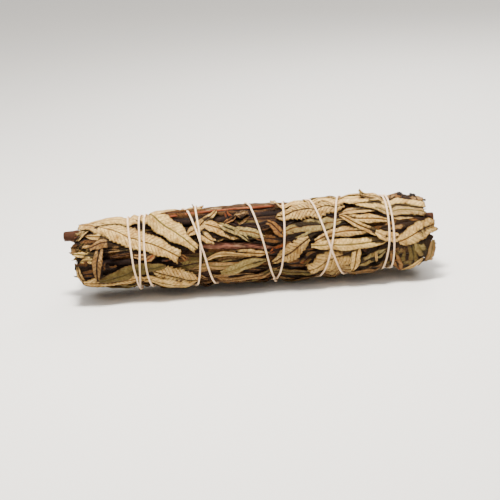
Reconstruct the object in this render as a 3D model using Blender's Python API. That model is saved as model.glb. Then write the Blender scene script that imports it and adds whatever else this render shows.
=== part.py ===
"""A bunch of dried sage: leafy stems laid side by side, pressed into a roll and bound with one cotton string.

The roll lies on its underside along X. The side that a person would show faces -Y and a little up.
Places on the roll are given as x, the distance along it, and an angle round it: 0 degrees is the middle of
the show side, 90 its upper edge as seen, -90 its lower edge and 180 the back. Lengths are in millimetres
until to_object turns a finished shape into metres.
"""

import math
import random
from collections import namedtuple

import bmesh
import bpy
import numpy as np
from mathutils import Matrix, Vector
from mathutils.bvhtree import BVHTree

# Driving dimensions
MM = 0.001
END_X = 105.25  # the longest stem's cut end, and the furthest leaf tip
AXIS_HEIGHT = 23.4  # of the roll's centre line above the surface that it lies on
SHOW_TILT = math.radians(20)  # how far the show side faces up
GIRTH = [(-105, 15.5), (-96, 18.2), (-84, 19.6), (-62, 20.6), (-28, 22.8), (19, 22.5), (51, 22.8), (75, 21.4)]
GIRTH += [(96, 19.9), (105, 18.6)]
LEAF_BED = 2.4  # depth of the outer leaves over the pressed mass inside
UNDERSIDE = math.radians(-110)  # the angle that faces straight down
FLATTENING = 1.2  # how much the roll is flattened where it lies
MEAN_RADIUS = 21.0  # turns an angle into a distance round the roll
CORE_END = 97.0
CORE_ROUNDING = 9.0
CORE_HOLLOW = 2.0  # how far the middle of each end lies in from its rim
CORE_RIDGE = 0.45

BLADE_THICKNESS = 0.85
BLADE_STATIONS = 5
HIDDEN_STATIONS = 4
FREE_HEIGHT = 2.2  # leaves that lie this high over the mass, or higher, stand clear of it
CREASE = 0.45  # how much lower a leaf's midrib lies than its edges
SETTLED = 0.35  # how much lower than its height a leaf's midrib lies
SUNK_DEPTH = 1.0  # how far into the mass the others reach, under their height
TOOTH = 0.10  # share of a blade's half width by which its waved edge goes in and out
ROOT_SUNK = 1.3
ROOT_WIDTH = 0.16  # of a leaf at its root, as a share of its full width
TIP_WIDTH = 0.14
LOOKED_AT = (0.08, 0.92, 43)  # first share of a leaf's length, last and number, where a string is looked for
NEAR_STRING = 1.6  # a leaf is modelled exactly where the string passes this near
END_RINGS = [(5.5, 3), (10.5, 5), (15.0, 7)]  # radius and number of the leaf ends in the roll's ends
END_LEAF_LENGTH = 15.0

STRING_RADIUS = 0.62
STRING_SIDES = 5
STRING_STEP = 5.4
CLEARANCE = 0.3
HUMP = 2 * STRING_RADIUS + CLEARANCE  # how much higher the string goes where it passes over itself
PRESS_REACH = 8.5  # how far to each side the string holds the leaves down
PRESSED_HEIGHT = 0.35
FREE_RISE = 8.0  # how far a leaf could rise away from the string
STEM_SIDES, TWIG_SIDES = 7, 5
TWIG_DIAMETER = 2.0  # stems thinner than this are plain twigs
NODE_SWELL = 0.06  # share by which a stem is thicker at its nodes
SEED = 11

LEAF_COLOUR = (0.44, 0.38, 0.24)
BARK_COLOUR = (0.12, 0.065, 0.045)
TWIG_COLOUR = (0.30, 0.12, 0.06)
STRING_COLOUR = (0.78, 0.68, 0.50)

Leaf = namedtuple("Leaf", "x0 angle0 x1 angle1 half_width bow height")

# The leaves that show: start x, start height over the roll's middle as seen, tip x, tip height, half width,
# sideways bow, and how high the leaf lies over the pressed mass.
SHOW_LEAVES = {
    "end_cap": (-95.5, 16, -72, 5.5, 4.3, 1.5, 2.0),
    "big_low": (-89.5, 15, -41, -4.5, 6.5, 1.0, 1.5),
    "big_high": (-90, 19, -56, 17, 6.5, 0, 1.1),
    "ribbed": (-61.5, 17.5, -28, 1, 6.3, 1.0, 2.5),
    "top_strip": (-70, 21, -25, 22.2, 4, 0, 1.6),
    "end_pair": (-86, -1.5, -98.5, 0.5, 2.6, 0, 1.2),
    "hook": (-75.5, 4.5, -88, -7, 2.8, 3.0, 1.6),
    "olive_low": (-85.5, -12.5, -51, -8.5, 3.6, 0, 1.2),
    "rim_low": (-94, -16, -64, -17, 4.4, 0, 1.5),
    "belly": (-64, -15.5, -33, -20, 5, -1, 1.8),
    "belly_tri": (-33, -20, -50, -8, 4.2, 0, 1.2),
    "slant": (-34, 7, -17.5, 18, 2.9, 0, 2.2),
    "netted": (-25, 12, -2.5, 3, 3.2, 0, 1.6),
    "grey": (-10, 8, 7, 2.5, 3, 0.5, 1.7),
    "arch": (-27, -9, -2.5, -7, 1.6, 3, 2.0),
    "rolled": (-31, -12, -3.5, -10.5, 2.2, 0, 1.6),
    "green": (-18, -15, 8, -11, 3.6, 0.8, 2.1),
    "under": (-23, -17, 4.5, -19, 2.6, 0, 1.5),
    "keel": (5, -17.5, 43, -20, 2.6, 0, 1.5),
    "bright": (34, 20.5, 13, 19.5, 4, 0, 2.4),
    "corrugated": (51, 17, 13.5, 12, 6.3, -1.5, 2.4),
    "olive_mid": (48, 8, 11, 8, 4.1, -1.0, 1.0),
    "feather": (32, -1.5, 11.5, -12, 3.7, 0.5, 2.2),
    "tan_broad": (50, -10, 32, -21, 6, 0, 1.5),
    "petal": (58.5, -7.5, 54.5, -18.5, 3, 0, 1.9),
    "long_a": (37, -2, 70, 0.5, 2.9, 2.5, 1.8),
    "long_b": (31.5, -1.5, 79, -5, 2.9, -2.5, 2.3),
    "lance": (50.5, 11, 79, -6, 2.6, 0, 2.5),
    "upper_a": (52, 12.5, 77, 14, 2.6, 0.5, 1.6),
    "upper_b": (53, 10, 80, 7, 2.4, 0, 1.3),
    "crest": (33, 20, 101, 10.5, 5.2, 2.0, 2.3),
    "tip_up": (80, 19, 62, 21.2, 2.6, 0, 3.2),
    "back_brown": (77, 19.5, 98, 17.5, 3.2, 0, 1.6),
    "fan": (83, -6.5, 105.25, 1.2, 4.6, 0, 2.2),
    "amber": (78.5, 4, 101, 5.5, 2.4, 0, 1.4),
    "drop_a": (79, -18, 85, -8, 3, 0, 1.3),
    "drop_b": (87.5, -6, 91, -18, 3, 0, 1.5),
    "rim_right": (86, -18.6, 101, -14.5, 3.4, 0, 1.9),
    "hem": (50, -20, 78, -19.5, 2.6, 0, 1.3),
    "dark_end": (-96, -9, -86, -16, 3, 0, 0.9),
}
# Leaves of the underside that the roll lies on: start x, start angle, tip x, tip angle, and half width.
REST_LEAVES = [(-46, -114, -9, -106, 5.4), (-15, -116, 9, -110, 4.4), (13, -107, 56, -115, 5.4)]
REST_OVERREACH = 0.7  # how far past the surface they would go, where they are pressed flat
HIDDEN_LEAVES = 12
HIDDEN_FROM, HIDDEN_TO = 98, 244  # degrees
SPINE_ANGLES = (118, 150, 182, 214)  # rows of long leaves that tie the back together
SPINE_STARTS = (-97, -32, 33)
SPINE_HEIGHT = 1.5

# Stems: diameter, then points of x, height over the roll's middle as seen, and distance towards the viewer.
STEMS = {
    "stem_upper": (5.6, [(-104.9, 12.2, 4.5), (-80, 12.4, 8.0), (-58, 13.4, 11.4), (-38, 14.2, 13.0),
                         (-14, 13.6, 13.8), (6, 14.6, 12.9), (24, 13.4, 12.6), (48, 10.0, 10.6),
                         (76, 7.6, 8.6), (103.4, 6.1, 7.0)]),
    "stem_middle": (4.3, [(-98.5, 1.5, 1.5), (-70, 1.6, 7.0), (-46, 1.4, 14.0), (-27, 0.6, 18.7),
                          (-4, -1.3, 19.3), (12, -2.6, 18.4), (34, -3.0, 12.5), (66, -1.6, 5.0),
                          (99.5, -1.0, 1.0)]),
    "stem_lower": (4.8, [(-97.0, -5.0, 10.5), (-82, -4.4, 15.4), (-62, -5.6, 16.8), (-44, -7.2, 16.6),
                         (-28, -8.4, 14.8), (0, -9.0, 11.0), (50, -9.0, 8.0), (98.0, -8.4, 7.0)]),
    "stem_top": (4.6, [(-96.5, 12.5, -4.5), (-60, 16.0, -1.6), (-30, 19.5, 2.2), (-4, 20.2, 3.0),
                       (18, 19.4, 3.0), (44, 15.0, -1.0), (70, 12.6, -3.4), (98.5, 12.0, -4.5)]),
    "stem_heart": (5.2, [(-99.5, -3.5, -7.0), (-40, -2.0, -5.0), (20, 0.0, -4.5), (60, 3.0, -5.5),
                         (97.5, 4.5, -6.5)]),
    "stem_back_high": (4.4, [(-97.5, 7.0, -13.0), (-60, 7.4, -16.0), (-36, 7.6, -17.8), (-8, 6.6, -18.4),
                             (18, 5.6, -17.4), (50, 2.0, -14.0), (97.0, -4.0, -14.0)]),
    "stem_back_low": (4.0, [(-96.0, -10.5, -8.5), (-50, -11.0, -10.5), (0, -11.8, -12.4),
                            (34, -12.4, -14.6), (56, -12.0, -15.4), (80, -10.6, -13.0),
                            (98.0, -10.0, -10.0)]),
    "twig_red": (1.5, [(-55, 17.6, 13.9), (-38, 18.7, 13.2), (-14, 19.6, 12.2), (15, 19.6, 11.6)]),
}
STEM_POINTS, TWIG_POINTS = 10, 6

# The string's turns from the right end to the left and back: x where each turn passes the upper edge of the
# show side, its middle and its lower edge.
STRING_TURNS = [
    (77.8, 79.3, 76.0), (52.0, 45.6, 36.3), (20.3, 18.5, 11.4), (-29.0, -28.0, -33.6),
    (-60.5, -61.9, -64.9), (-68.4, -66.6, -63.9), (-58.0, -59.2, -56.8), (-37.6, -27.3, -20.7),
    (-2.1, 6.8, 12.8), (33.0, 42.1, 52.4), (75.4, 76.8, 72.0),
]
KNOT_X, KNOT_ANGLE = 76.0, 180.0
TAIL_TURN = 30.0  # degrees of each loose end
TAIL_SHIFTS = (6.5, -5.5)  # how far along the roll each loose end runs from the knot
KNOT_SIZE = (1.9, 2.6, 1.7)  # half sizes: along the roll, round it, and out from it


def bed_radius(x, angle):
    """Radius of the pressed mass that the outer leaves lie on, with its slow lumps, at angles in radians."""
    xs, radii = zip(*GIRTH)
    lumps = 0.35 * np.sin(3 * angle + 0.045 * x) + 0.30 * np.sin(2 * angle - 0.06 * x + 1.0)
    from_under = (angle - UNDERSIDE + math.pi) % (2 * math.pi) - math.pi
    flattened = FLATTENING * np.exp(-((from_under / math.radians(40)) ** 2))
    return np.interp(x, xs, radii) - LEAF_BED + lumps - flattened


def place(x, radius, angle):
    """Points of the roll, in millimetres, from x, radius and show angle in radians."""
    turn = angle + SHOW_TILT
    return np.stack([x + 0 * turn, -radius * np.cos(turn), AXIS_HEIGHT + radius * np.sin(turn)], axis=-1)


def seen_point(x, up, towards):
    """The same from a height over the roll's middle as seen, and a distance towards the viewer."""
    return Vector(place(x, math.hypot(up, towards), math.atan2(up, towards)))


def seen_angle(x, up):
    """Degrees round the roll at which its outside is seen at that height."""
    outside = np.interp(x, *zip(*GIRTH))
    return math.degrees(math.asin(max(-0.985, min(0.985, up / outside))))


def smooth_through(knots, values, wanted):
    """A smooth curve through values at knots (Catmull-Rom slopes), read at the wanted places."""
    knots, values = np.asarray(knots, float), np.asarray(values, float)
    slopes = np.gradient(values, knots, axis=0)
    i = np.clip(np.searchsorted(knots, wanted, side="right") - 1, 0, len(knots) - 2)
    span = knots[i + 1] - knots[i]
    t = (wanted - knots[i]) / span
    if values.ndim == 2:
        t, span = t[:, None], span[:, None]
    blend = t * t * (3 - 2 * t)
    rise = span * (t * (1 - t) ** 2 * slopes[i] - t * t * (1 - t) * slopes[i + 1])
    return values[i] * (1 - blend) + values[i + 1] * blend + rise


def string_route(step):
    """x and angle, in radians, of the string's centre line about every step millimetres. The angle falls
    all the way, a full turn for each turn of string."""
    turned, xs = [KNOT_ANGLE + TAIL_TURN, KNOT_ANGLE], [KNOT_X + TAIL_SHIFTS[0], KNOT_X]
    for number, turn in enumerate(STRING_TURNS):
        for x, quarter in zip(turn, (90, 0, -90)):
            turned.append(quarter - 360 * number)
            xs.append(x)
    last = KNOT_ANGLE - 360 * len(STRING_TURNS)
    turned += [last, last - TAIL_TURN]
    xs += [KNOT_X, KNOT_X + TAIL_SHIFTS[1]]
    count = round(math.radians(turned[0] - turned[-1]) * MEAN_RADIUS / step)
    angles = np.linspace(turned[0], turned[-1], count)
    return smooth_through([-a for a in turned], xs, -angles), np.radians(angles)


def unrolled_gap(x, angle, other_x, other_angle):
    """Distances over the roll's surface between two sets of places, as a table."""
    turn = (angle[:, None] - other_angle[None, :] + math.pi) % (2 * math.pi) - math.pi
    return np.hypot(x[:, None] - other_x[None, :], turn * MEAN_RADIUS)


def pressed(height, x, angle):
    """Leaf heights held down by the string where it passes."""
    near = unrolled_gap(x.ravel(), angle.ravel(), *string_route(2.0)).min(axis=1).reshape(x.shape)
    allowed = PRESSED_HEIGHT + FREE_RISE * (1 - np.exp(-((near / PRESS_REACH) ** 2)))
    return np.minimum(height, allowed)


def to_object(name, points, faces, colour):
    """A mesh object in metres, with its own material."""
    mesh = bpy.data.meshes.new(name)
    mesh.from_pydata([tuple(float(c) * MM for c in p) for p in points], [], faces)
    material = bpy.data.materials.new(name)
    material.use_nodes = True
    shader = material.node_tree.nodes["Principled BSDF"]
    shader.inputs["Base Color"].default_value = (*colour, 1)
    shader.inputs["Roughness"].default_value = 0.85
    mesh.materials.append(material)
    made = bpy.data.objects.new(name, mesh)
    bpy.context.scene.collection.objects.link(made)
    return made


def face_outwards(made):
    """Recalculates the normals of a closed mesh."""
    work = bmesh.new()
    work.from_mesh(made.data)
    bmesh.ops.recalc_face_normals(work, faces=work.faces)
    work.to_mesh(made.data)
    work.free()
    return made


def tube(name, centres, radii, sides, colour):
    """A closed round bar through the centres, with flat ends."""
    centres = [Vector(c) for c in centres]
    points, faces, last = [], [], len(centres) - 1
    side = Vector((0, 0, 1))
    for i, centre in enumerate(centres):
        along = (centres[min(i + 1, last)] - centres[max(i - 1, 0)]).normalized()
        side = (side - along * side.dot(along)).normalized()
        other = along.cross(side)
        for k in range(sides):
            turn = 2 * math.pi * k / sides
            points.append(centre + (side * math.cos(turn) + other * math.sin(turn)) * radii[i])
    for i in range(last):
        for k in range(sides):
            a, b = i * sides + k, i * sides + (k + 1) % sides
            faces.append((a, b, b + sides, a + sides))
    faces.append(tuple(range(sides))[::-1])
    faces.append(tuple(last * sides + k for k in range(sides)))
    return face_outwards(to_object(name, points, faces, colour))


def stations(leaf, count):
    """Shares of a leaf's length at which its blade is modelled, moved to where the string presses on it."""
    s = np.linspace(0, 1, count + 1)
    fine = np.linspace(*LOOKED_AT)
    x = leaf.x0 + (leaf.x1 - leaf.x0) * fine
    angle = np.radians(leaf.angle0 + (leaf.angle1 - leaf.angle0) * fine)
    near = unrolled_gap(x, angle, *string_route(2.0)).min(axis=1)
    for i in range(1, len(fine) - 1):
        if near[i] < NEAR_STRING and near[i] <= near[i - 1] and near[i] < near[i + 1]:
            s[1 + np.abs(s[1:-1] - fine[i]).argmin()] = fine[i]
    return np.sort(s)


def blade(leaf, count=BLADE_STATIONS, absolute_radius=None):
    """One leaf: a closed blade that follows the roll, with a creased middle and a waved edge. Its root is
    sunk into the pressed mass, and a low one lies in it all along. A leaf with no height reaches the surface
    that the roll lies on, and one with absolute_radius is inside the roll."""
    s = stations(leaf, count)
    q0, q1 = math.radians(leaf.angle0) * MEAN_RADIUS, math.radians(leaf.angle1) * MEAN_RADIUS
    along = np.array([leaf.x1 - leaf.x0, q1 - q0])
    along /= np.hypot(*along)
    across = np.array([-along[1], along[0]])
    wave = 1 + TOOTH * np.where(np.arange(len(s)) % 2, 1, -1)
    width = leaf.half_width * (ROOT_WIDTH + (1 - ROOT_WIDTH) * np.sin(math.pi * s**0.8) ** 0.8) * wave
    width[-1] = TIP_WIDTH * leaf.half_width
    t = np.array([-1.0, 0.0, 1.0])
    shift = width[:, None] * t + leaf.bow * np.sin(math.pi * s)[:, None]
    x = leaf.x0 + (leaf.x1 - leaf.x0) * s[:, None] + across[0] * shift
    angle = (q0 + (q1 - q0) * s[:, None] + across[1] * shift) / MEAN_RADIUS
    thickness = BLADE_THICKNESS
    if absolute_radius is None:
        level = leaf.height
        if level is None:
            level = AXIS_HEIGHT + REST_OVERREACH - bed_radius(x, angle)
        if np.max(level) < FREE_HEIGHT or leaf.height is None:
            thickness = np.max(level) + SUNK_DEPTH
        rise = np.minimum(1, 0.25 + 3.2 * s)[:, None]
        crease = CREASE * np.abs(t) * (width / leaf.half_width)[:, None]
        height = level * rise - ROOT_SUNK * (1 - rise) + crease - SETTLED
        outside = bed_radius(x, angle) + pressed(height, x, angle)
    else:
        outside = absolute_radius + 0.5 * np.abs(t) + 0 * x
    outer, inner = place(x, outside, angle), place(x, outside - thickness, angle)
    points = np.concatenate([outer.reshape(-1, 3), inner.reshape(-1, 3)])
    rows, half = len(s), len(s) * 3
    faces = []
    for i in range(rows - 1):
        for j in range(2):
            a = i * 3 + j
            corners = (a, a + 1, a + 4, a + 3)
            split = (0, 1, 2), (0, 2, 3)
            if j == 0:
                split = (0, 1, 3), (1, 2, 3)
            for triangle in split:
                faces.append(tuple(corners[k] for k in triangle))
                faces.append(tuple(corners[k] + half for k in reversed(triangle)))
    rim = [i * 3 for i in range(rows)] + [rows * 3 - 2] + [i * 3 + 2 for i in reversed(range(rows))] + [1]
    for a, b in zip(rim, rim[1:] + rim[:1]):
        faces.append((a, a + half, b + half, b))
    return face_outwards(to_object("blade", points, faces, LEAF_COLOUR))


def core():
    """The pressed mass of inner leaves, long ridges of folded leaf running from end to end."""
    around, along = 20, 15
    points, faces = [], []
    for x in np.linspace(-CORE_END, CORE_END, along):
        into_end = max(0.0, abs(x) - (CORE_END - CORE_ROUNDING)) / CORE_ROUNDING
        shrink = 1 - 0.32 * into_end**2
        for k in range(around):
            angle = 2 * math.pi * k / around
            ridge = CORE_RIDGE if k % 2 else -CORE_RIDGE
            points.append(place(x, (bed_radius(x, angle) + ridge) * shrink, np.array(angle)))
    for i in range(along - 1):
        for k in range(around):
            a, b = i * around + k, i * around + (k + 1) % around
            faces.append((a, b, b + around, a + around))
    for first, sign in ((0, -1), ((along - 1) * around, 1)):
        points.append(place(sign * (CORE_END - CORE_HOLLOW), 0.0, np.array(0.0)))
        for k in range(around):
            faces.append((first + k, first + (k + 1) % around, len(points) - 1))
    return face_outwards(to_object("leaf_bunch", points, faces, LEAF_COLOUR))


def show_leaves():
    """The leaves of the show side, each at its own place."""
    return [
        Leaf(x0, seen_angle(x0, up0), x1, seen_angle(x1, up1), half_width, bow, height)
        for x0, up0, x1, up1, half_width, bow, height in SHOW_LEAVES.values()
    ]


def hidden_leaves(draw):
    """Leaves of the back and underside: rows of long ones, and shorter ones drawn between them."""
    found = [Leaf(*row, 0, None) for row in REST_LEAVES]
    for row, angle in enumerate(SPINE_ANGLES):
        for start in SPINE_STARTS:
            x0 = start + draw.uniform(-4, 4) + 6 * (row % 2)
            half_width = draw.uniform(4.2, 5.6)
            found.append(Leaf(x0, angle + draw.uniform(-6, 6), x0 + draw.uniform(60, 66),
                              angle + draw.uniform(-10, 10), half_width, draw.uniform(-2, 2),
                              SPINE_HEIGHT))
    columns = HIDDEN_LEAVES // 2
    for number in range(HIDDEN_LEAVES):
        share = (number % columns + draw.uniform(0.2, 0.8)) / columns
        angle = HIDDEN_FROM + (HIDDEN_TO - HIDDEN_FROM) * share
        x0 = draw.uniform(-96, 20) if number < columns else draw.uniform(-30, 62)
        length = draw.uniform(26, 40)
        found.append(Leaf(x0, angle, min(x0 + length, 100), angle + draw.uniform(-26, 26),
                          draw.uniform(2.8, 4.6), draw.uniform(-1.5, 1.5), draw.uniform(1.7, 2.6)))
    return found


def end_leaves(draw):
    """Folded leaf ends packed in each end of the roll, as pairs of a leaf and the radius that it lies at."""
    found = []
    for end in (-1, 1):
        for radius, count in END_RINGS:
            for number in range(count):
                angle = math.degrees(2 * math.pi * (number + draw.uniform(-0.25, 0.25)) / count)
                half_width = draw.uniform(2.6, 4.4) * MEAN_RADIUS / radius
                tip = end * (CORE_END + draw.uniform(1.5, 5.5))
                root = tip - end * END_LEAF_LENGTH
                leaf = Leaf(root, angle, tip, angle + draw.uniform(-8, 8), half_width, 0, 0)
                found.append((leaf, radius + draw.uniform(-0.9, 0.9)))
    return found


def stem_line(points, count):
    """Points read from a smooth curve through a stem's own points."""
    line = np.array([seen_point(*p) for p in points])
    gone = np.concatenate([[0], np.cumsum(np.linalg.norm(np.diff(line, axis=0), axis=1))])
    return smooth_through(gone, line, np.linspace(0, gone[-1], count))


def stem(name, diameter, points):
    """A cut stem, slightly thicker at its nodes, or a plain thin twig."""
    if diameter < TWIG_DIAMETER:
        line = stem_line(points, TWIG_POINTS)
        return tube(name, line, [diameter / 2] * TWIG_POINTS, TWIG_SIDES, TWIG_COLOUR)
    line = stem_line(points, STEM_POINTS)
    radii = [diameter / 2 * (1 + (NODE_SWELL if i % 3 == 1 else 0)) for i in range(STEM_POINTS)]
    return tube(name, line, radii, STEM_SIDES, BARK_COLOUR)


def stem_cutter(diameter, points):
    """The hole that a stem lies in: its shape with a clear gap, run past both ends."""
    thin = diameter < TWIG_DIAMETER
    line = stem_line(points, TWIG_POINTS if thin else STEM_POINTS)
    reach = 0.5 if thin else 12.0
    first = line[0] + (line[0] - line[1]) / np.linalg.norm(line[0] - line[1]) * reach
    last = line[-1] + (line[-1] - line[-2]) / np.linalg.norm(line[-1] - line[-2]) * reach
    sides = TWIG_SIDES if thin else STEM_SIDES
    radius = diameter / 2 * (1 + NODE_SWELL) + CLEARANCE / math.cos(math.pi / sides)
    cutter = tube("cutter", [first, *line, last], [radius] * (len(line) + 2), sides, BARK_COLOUR)
    cutter.hide_render = True
    cutter.display_type = "WIRE"
    return cutter


def boolean(target, others, operation, solver):
    """Applies one Boolean of target with a collection of other objects, and removes them."""
    group = bpy.data.collections.new(operation)
    for other in others:
        group.objects.link(other)
    modifier = target.modifiers.new(operation, "BOOLEAN")
    modifier.operation = operation
    modifier.operand_type = "COLLECTION"
    modifier.collection = group
    modifier.solver = solver
    bpy.context.view_layer.update()
    result = bpy.data.meshes.new_from_object(target.evaluated_get(bpy.context.evaluated_depsgraph_get()))
    result.name = target.name
    target.modifiers.clear()
    target.data = result
    for other in others:
        bpy.data.objects.remove(other)
    bpy.data.collections.remove(group)


def keep_main_body(made):
    """Drops the loose scraps that the cuts leave."""
    work = bmesh.new()
    work.from_mesh(made.data)
    left, bodies = set(work.faces), []
    while left:
        body, edge = [], [left.pop()]
        while edge:
            face = edge.pop()
            body.append(face)
            for side in face.edges:
                for other in side.link_faces:
                    if other in left:
                        left.discard(other)
                        edge.append(other)
        bodies.append(body)
    bodies.sort(key=len)
    scraps = [face for body in bodies[:-1] for face in body]
    bmesh.ops.delete(work, geom=scraps, context="FACES")
    work.to_mesh(made.data)
    work.free()


def surface_block():
    """Everything above the surface that the roll lies on, and between its two ends."""
    bpy.ops.mesh.primitive_cube_add(size=1, location=(0, 0, 50 * MM))
    block = bpy.context.object
    block.scale = (2 * END_X * MM, 200 * MM, 100 * MM)
    bpy.ops.object.transform_apply(location=True, scale=True)
    return block


def leaf_bunch(draw):
    """All the leaves as one body, with a hole or a groove for each stem and a pressed flat underside."""
    bunch = core()
    blades = [blade(leaf) for leaf in show_leaves()]
    blades += [blade(leaf, HIDDEN_STATIONS) for leaf in hidden_leaves(draw)]
    blades += [blade(leaf, HIDDEN_STATIONS, radius) for leaf, radius in end_leaves(draw)]
    boolean(bunch, blades, "UNION", "MANIFOLD")
    boolean(bunch, [stem_cutter(diameter, points) for diameter, points in STEMS.values()], "DIFFERENCE",
            "MANIFOLD")
    boolean(bunch, [surface_block()], "INTERSECT", "MANIFOLD")
    keep_main_body(bunch)
    return bunch


def outside_of(objects, x, angle):
    """Radius of the outermost surface at each place, found by looking inwards from all round."""
    bpy.context.view_layer.update()
    trees = [BVHTree.FromObject(o, bpy.context.evaluated_depsgraph_get()) for o in objects]
    far = 60.0
    found = []
    for one_x, one_angle in zip(x, angle):
        start = Vector(place(one_x, far, one_angle))
        inwards = (Vector(place(one_x, 0.0, one_angle)) - start).normalized()
        hits = [tree.ray_cast(start * MM, inwards, far * MM)[3] for tree in trees]
        found.append(far - min([far] + [hit / MM for hit in hits if hit is not None]))
    return np.array(found)


def widest_near(values, reach):
    """The largest value within reach places to each side."""
    padded = np.pad(values, reach, mode="edge")
    return np.max([padded[i : i + len(values)] for i in range(2 * reach + 1)], axis=0)


def string_radii(others, x, angle):
    """Radius of the string's centre line at each place: tight over the leaves and stems, and over itself."""
    shifts = np.linspace(-1, 1, 7) * (STRING_RADIUS + 0.4)
    under = np.max([outside_of(others, x + shift, angle) for shift in shifts], axis=0)
    tight = bed_radius(x, angle) + PRESSED_HEIGHT + STRING_RADIUS
    reach = math.ceil(STRING_STEP)
    radius = widest_near(np.maximum(under + STRING_RADIUS + CLEARANCE, tight), reach)
    turn = int(2 * math.pi * MEAN_RADIUS)
    for start in range(0, len(x), turn // 2):
        now = slice(start, start + turn // 2)
        before = slice(0, max(0, start - turn // 4))
        if before.stop:
            gap = unrolled_gap(x[now], angle[now], x[before], angle[before])
            over = np.where(gap < HUMP + 0.5, radius[before][None, :] + HUMP, 0).max(axis=1)
            radius[now] = np.maximum(radius[now], widest_near(over, reach))
    return radius


def string(others):
    """The cotton string: one length wound from the right end to the left and back, knotted at the back."""
    x, angle = string_route(1.0)
    radius = string_radii(others, x, angle)
    taken = np.unique(np.linspace(0, len(x) - 1, round(len(x) / STRING_STEP)).astype(int))
    chord = 1 / math.cos(STRING_STEP / MEAN_RADIUS / 2)
    centres = place(x[taken], radius[taken] * chord, angle[taken])
    made = tube("string", centres, [STRING_RADIUS] * len(taken), STRING_SIDES, STRING_COLOUR)
    bpy.ops.mesh.primitive_ico_sphere_add(subdivisions=2, radius=1)
    knot = bpy.context.object
    for vertex in knot.data.vertices:
        vertex.co = Vector(KNOT_SIZE[k] * vertex.co[k] * MM for k in range(3))
    around_x, around_angle = np.meshgrid(np.linspace(-1, 1, 9), np.linspace(-1, 1, 9))
    under_x = KNOT_X + KNOT_SIZE[0] * around_x.ravel()
    under_angle = math.radians(KNOT_ANGLE) + KNOT_SIZE[1] / MEAN_RADIUS * around_angle.ravel()
    knot_radius = outside_of(others, under_x, under_angle).max() + CLEARANCE + KNOT_SIZE[2]
    knot.location = Vector(place(KNOT_X, knot_radius, math.radians(KNOT_ANGLE))) * MM
    knot.rotation_euler = (math.radians(KNOT_ANGLE) + SHOW_TILT - math.pi / 2, 0, 0)
    bpy.context.view_layer.update()
    boolean(made, [knot], "UNION", "EXACT")
    return made


def centre(objects):
    """Moves all the finished objects together, so that their middle seen from above is at the origin."""
    corners = np.array([vertex.co for made in objects for vertex in made.data.vertices])
    middle = (corners.min(axis=0) + corners.max(axis=0)) / 2
    for made in objects:
        made.data.transform(Matrix.Translation((-middle[0], -middle[1], 0)))


def main():
    for old in list(bpy.data.objects):
        bpy.data.objects.remove(old)
    draw = random.Random(SEED)
    bunch = leaf_bunch(draw)
    stems = [stem(name, diameter, points) for name, (diameter, points) in STEMS.items()]
    string([bunch, *stems])
    centre(bpy.data.objects)
    for made in bpy.data.objects:
        made.data.shade_smooth()
        made.data.set_sharp_from_angle(angle=math.radians(40))


main()
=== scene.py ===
# %% [markdown]
# A tied bunch of dried sage
# This script dresses the solid model of a herb roll: leafy twigs laid side by side, pressed together and
# wound with one cotton string. The solids give every place and size. What is modelled here is what makes
# the roll look like a dried plant: thin veined leaves lying over each other, wrinkled bark and a twisted
# string.

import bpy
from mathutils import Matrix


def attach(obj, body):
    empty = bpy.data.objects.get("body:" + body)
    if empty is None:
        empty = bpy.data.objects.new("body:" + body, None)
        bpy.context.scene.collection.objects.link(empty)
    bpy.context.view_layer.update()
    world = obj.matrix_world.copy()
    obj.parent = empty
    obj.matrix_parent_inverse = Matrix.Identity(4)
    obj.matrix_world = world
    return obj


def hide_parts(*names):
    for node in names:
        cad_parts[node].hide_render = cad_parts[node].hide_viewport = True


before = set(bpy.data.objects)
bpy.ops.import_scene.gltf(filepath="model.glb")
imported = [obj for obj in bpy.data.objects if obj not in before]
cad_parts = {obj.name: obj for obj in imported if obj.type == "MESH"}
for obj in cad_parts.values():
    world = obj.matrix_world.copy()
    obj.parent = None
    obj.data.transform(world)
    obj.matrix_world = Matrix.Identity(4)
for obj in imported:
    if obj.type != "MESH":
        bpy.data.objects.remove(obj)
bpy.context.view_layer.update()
print("nodes:", sorted(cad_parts))

# %% [markdown]
# Places on the roll
# A roll is easiest to describe unrolled: a distance along it, an angle round it and a height over the
# pressed mass inside. An angle of 0 degrees is the middle of the side that is shown, 90 its upper edge as
# seen, and -90 its lower edge. The roll is turned a little, so that its shown side faces up, and the same
# few numbers as in the solid model give its girth. Lengths are in millimetres until a finished mesh is
# scaled to metres.

# %% Girth of the roll, and the turn from unrolled places to points
import math
import random
from collections import namedtuple

import bpy
import numpy as np
from mathutils import Matrix, Vector, noise

MM = 0.001
AXIS_HEIGHT = 23.4
SHOW_TILT = math.radians(20)
GIRTH = [  # place along the roll, radius over the leaves
    (-105, 15.5), (-96, 18.2), (-84, 19.6), (-62, 20.6), (-28, 22.8), (19, 22.5), (51, 22.8), (75, 21.4),
    (96, 19.9), (105, 18.6),
]
LEAF_BED = 2.4  # depth of the layer of separate leaves
LUMPS = ((0.35, 3, 0.045, 0.0), (0.30, 2, -0.06, 1.0))  # depth, waves round, turn in a millimetre, start
UNDERSIDE = math.radians(-110)
FLATTENING = 1.2  # how far the underside is pressed flat
FLAT_WIDTH = math.radians(40)
MEAN_RADIUS = 21.0
CORE_END = 96.0
EDGE_SINE = 0.985  # no place is put nearer to the upper or lower edge than this


def bed_radius(x, angle):
    """Radius of the pressed mass that the leaves lie on, with its slow lumps."""
    xs, radii = zip(*GIRTH)
    lumps = sum(depth * np.sin(waves * angle + turn * x + start) for depth, waves, turn, start in LUMPS)
    from_under = (angle - UNDERSIDE + math.pi) % (2 * math.pi) - math.pi
    flattened = FLATTENING * np.exp(-((from_under / FLAT_WIDTH) ** 2))
    return np.interp(x, xs, radii) - LEAF_BED + lumps - flattened


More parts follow.
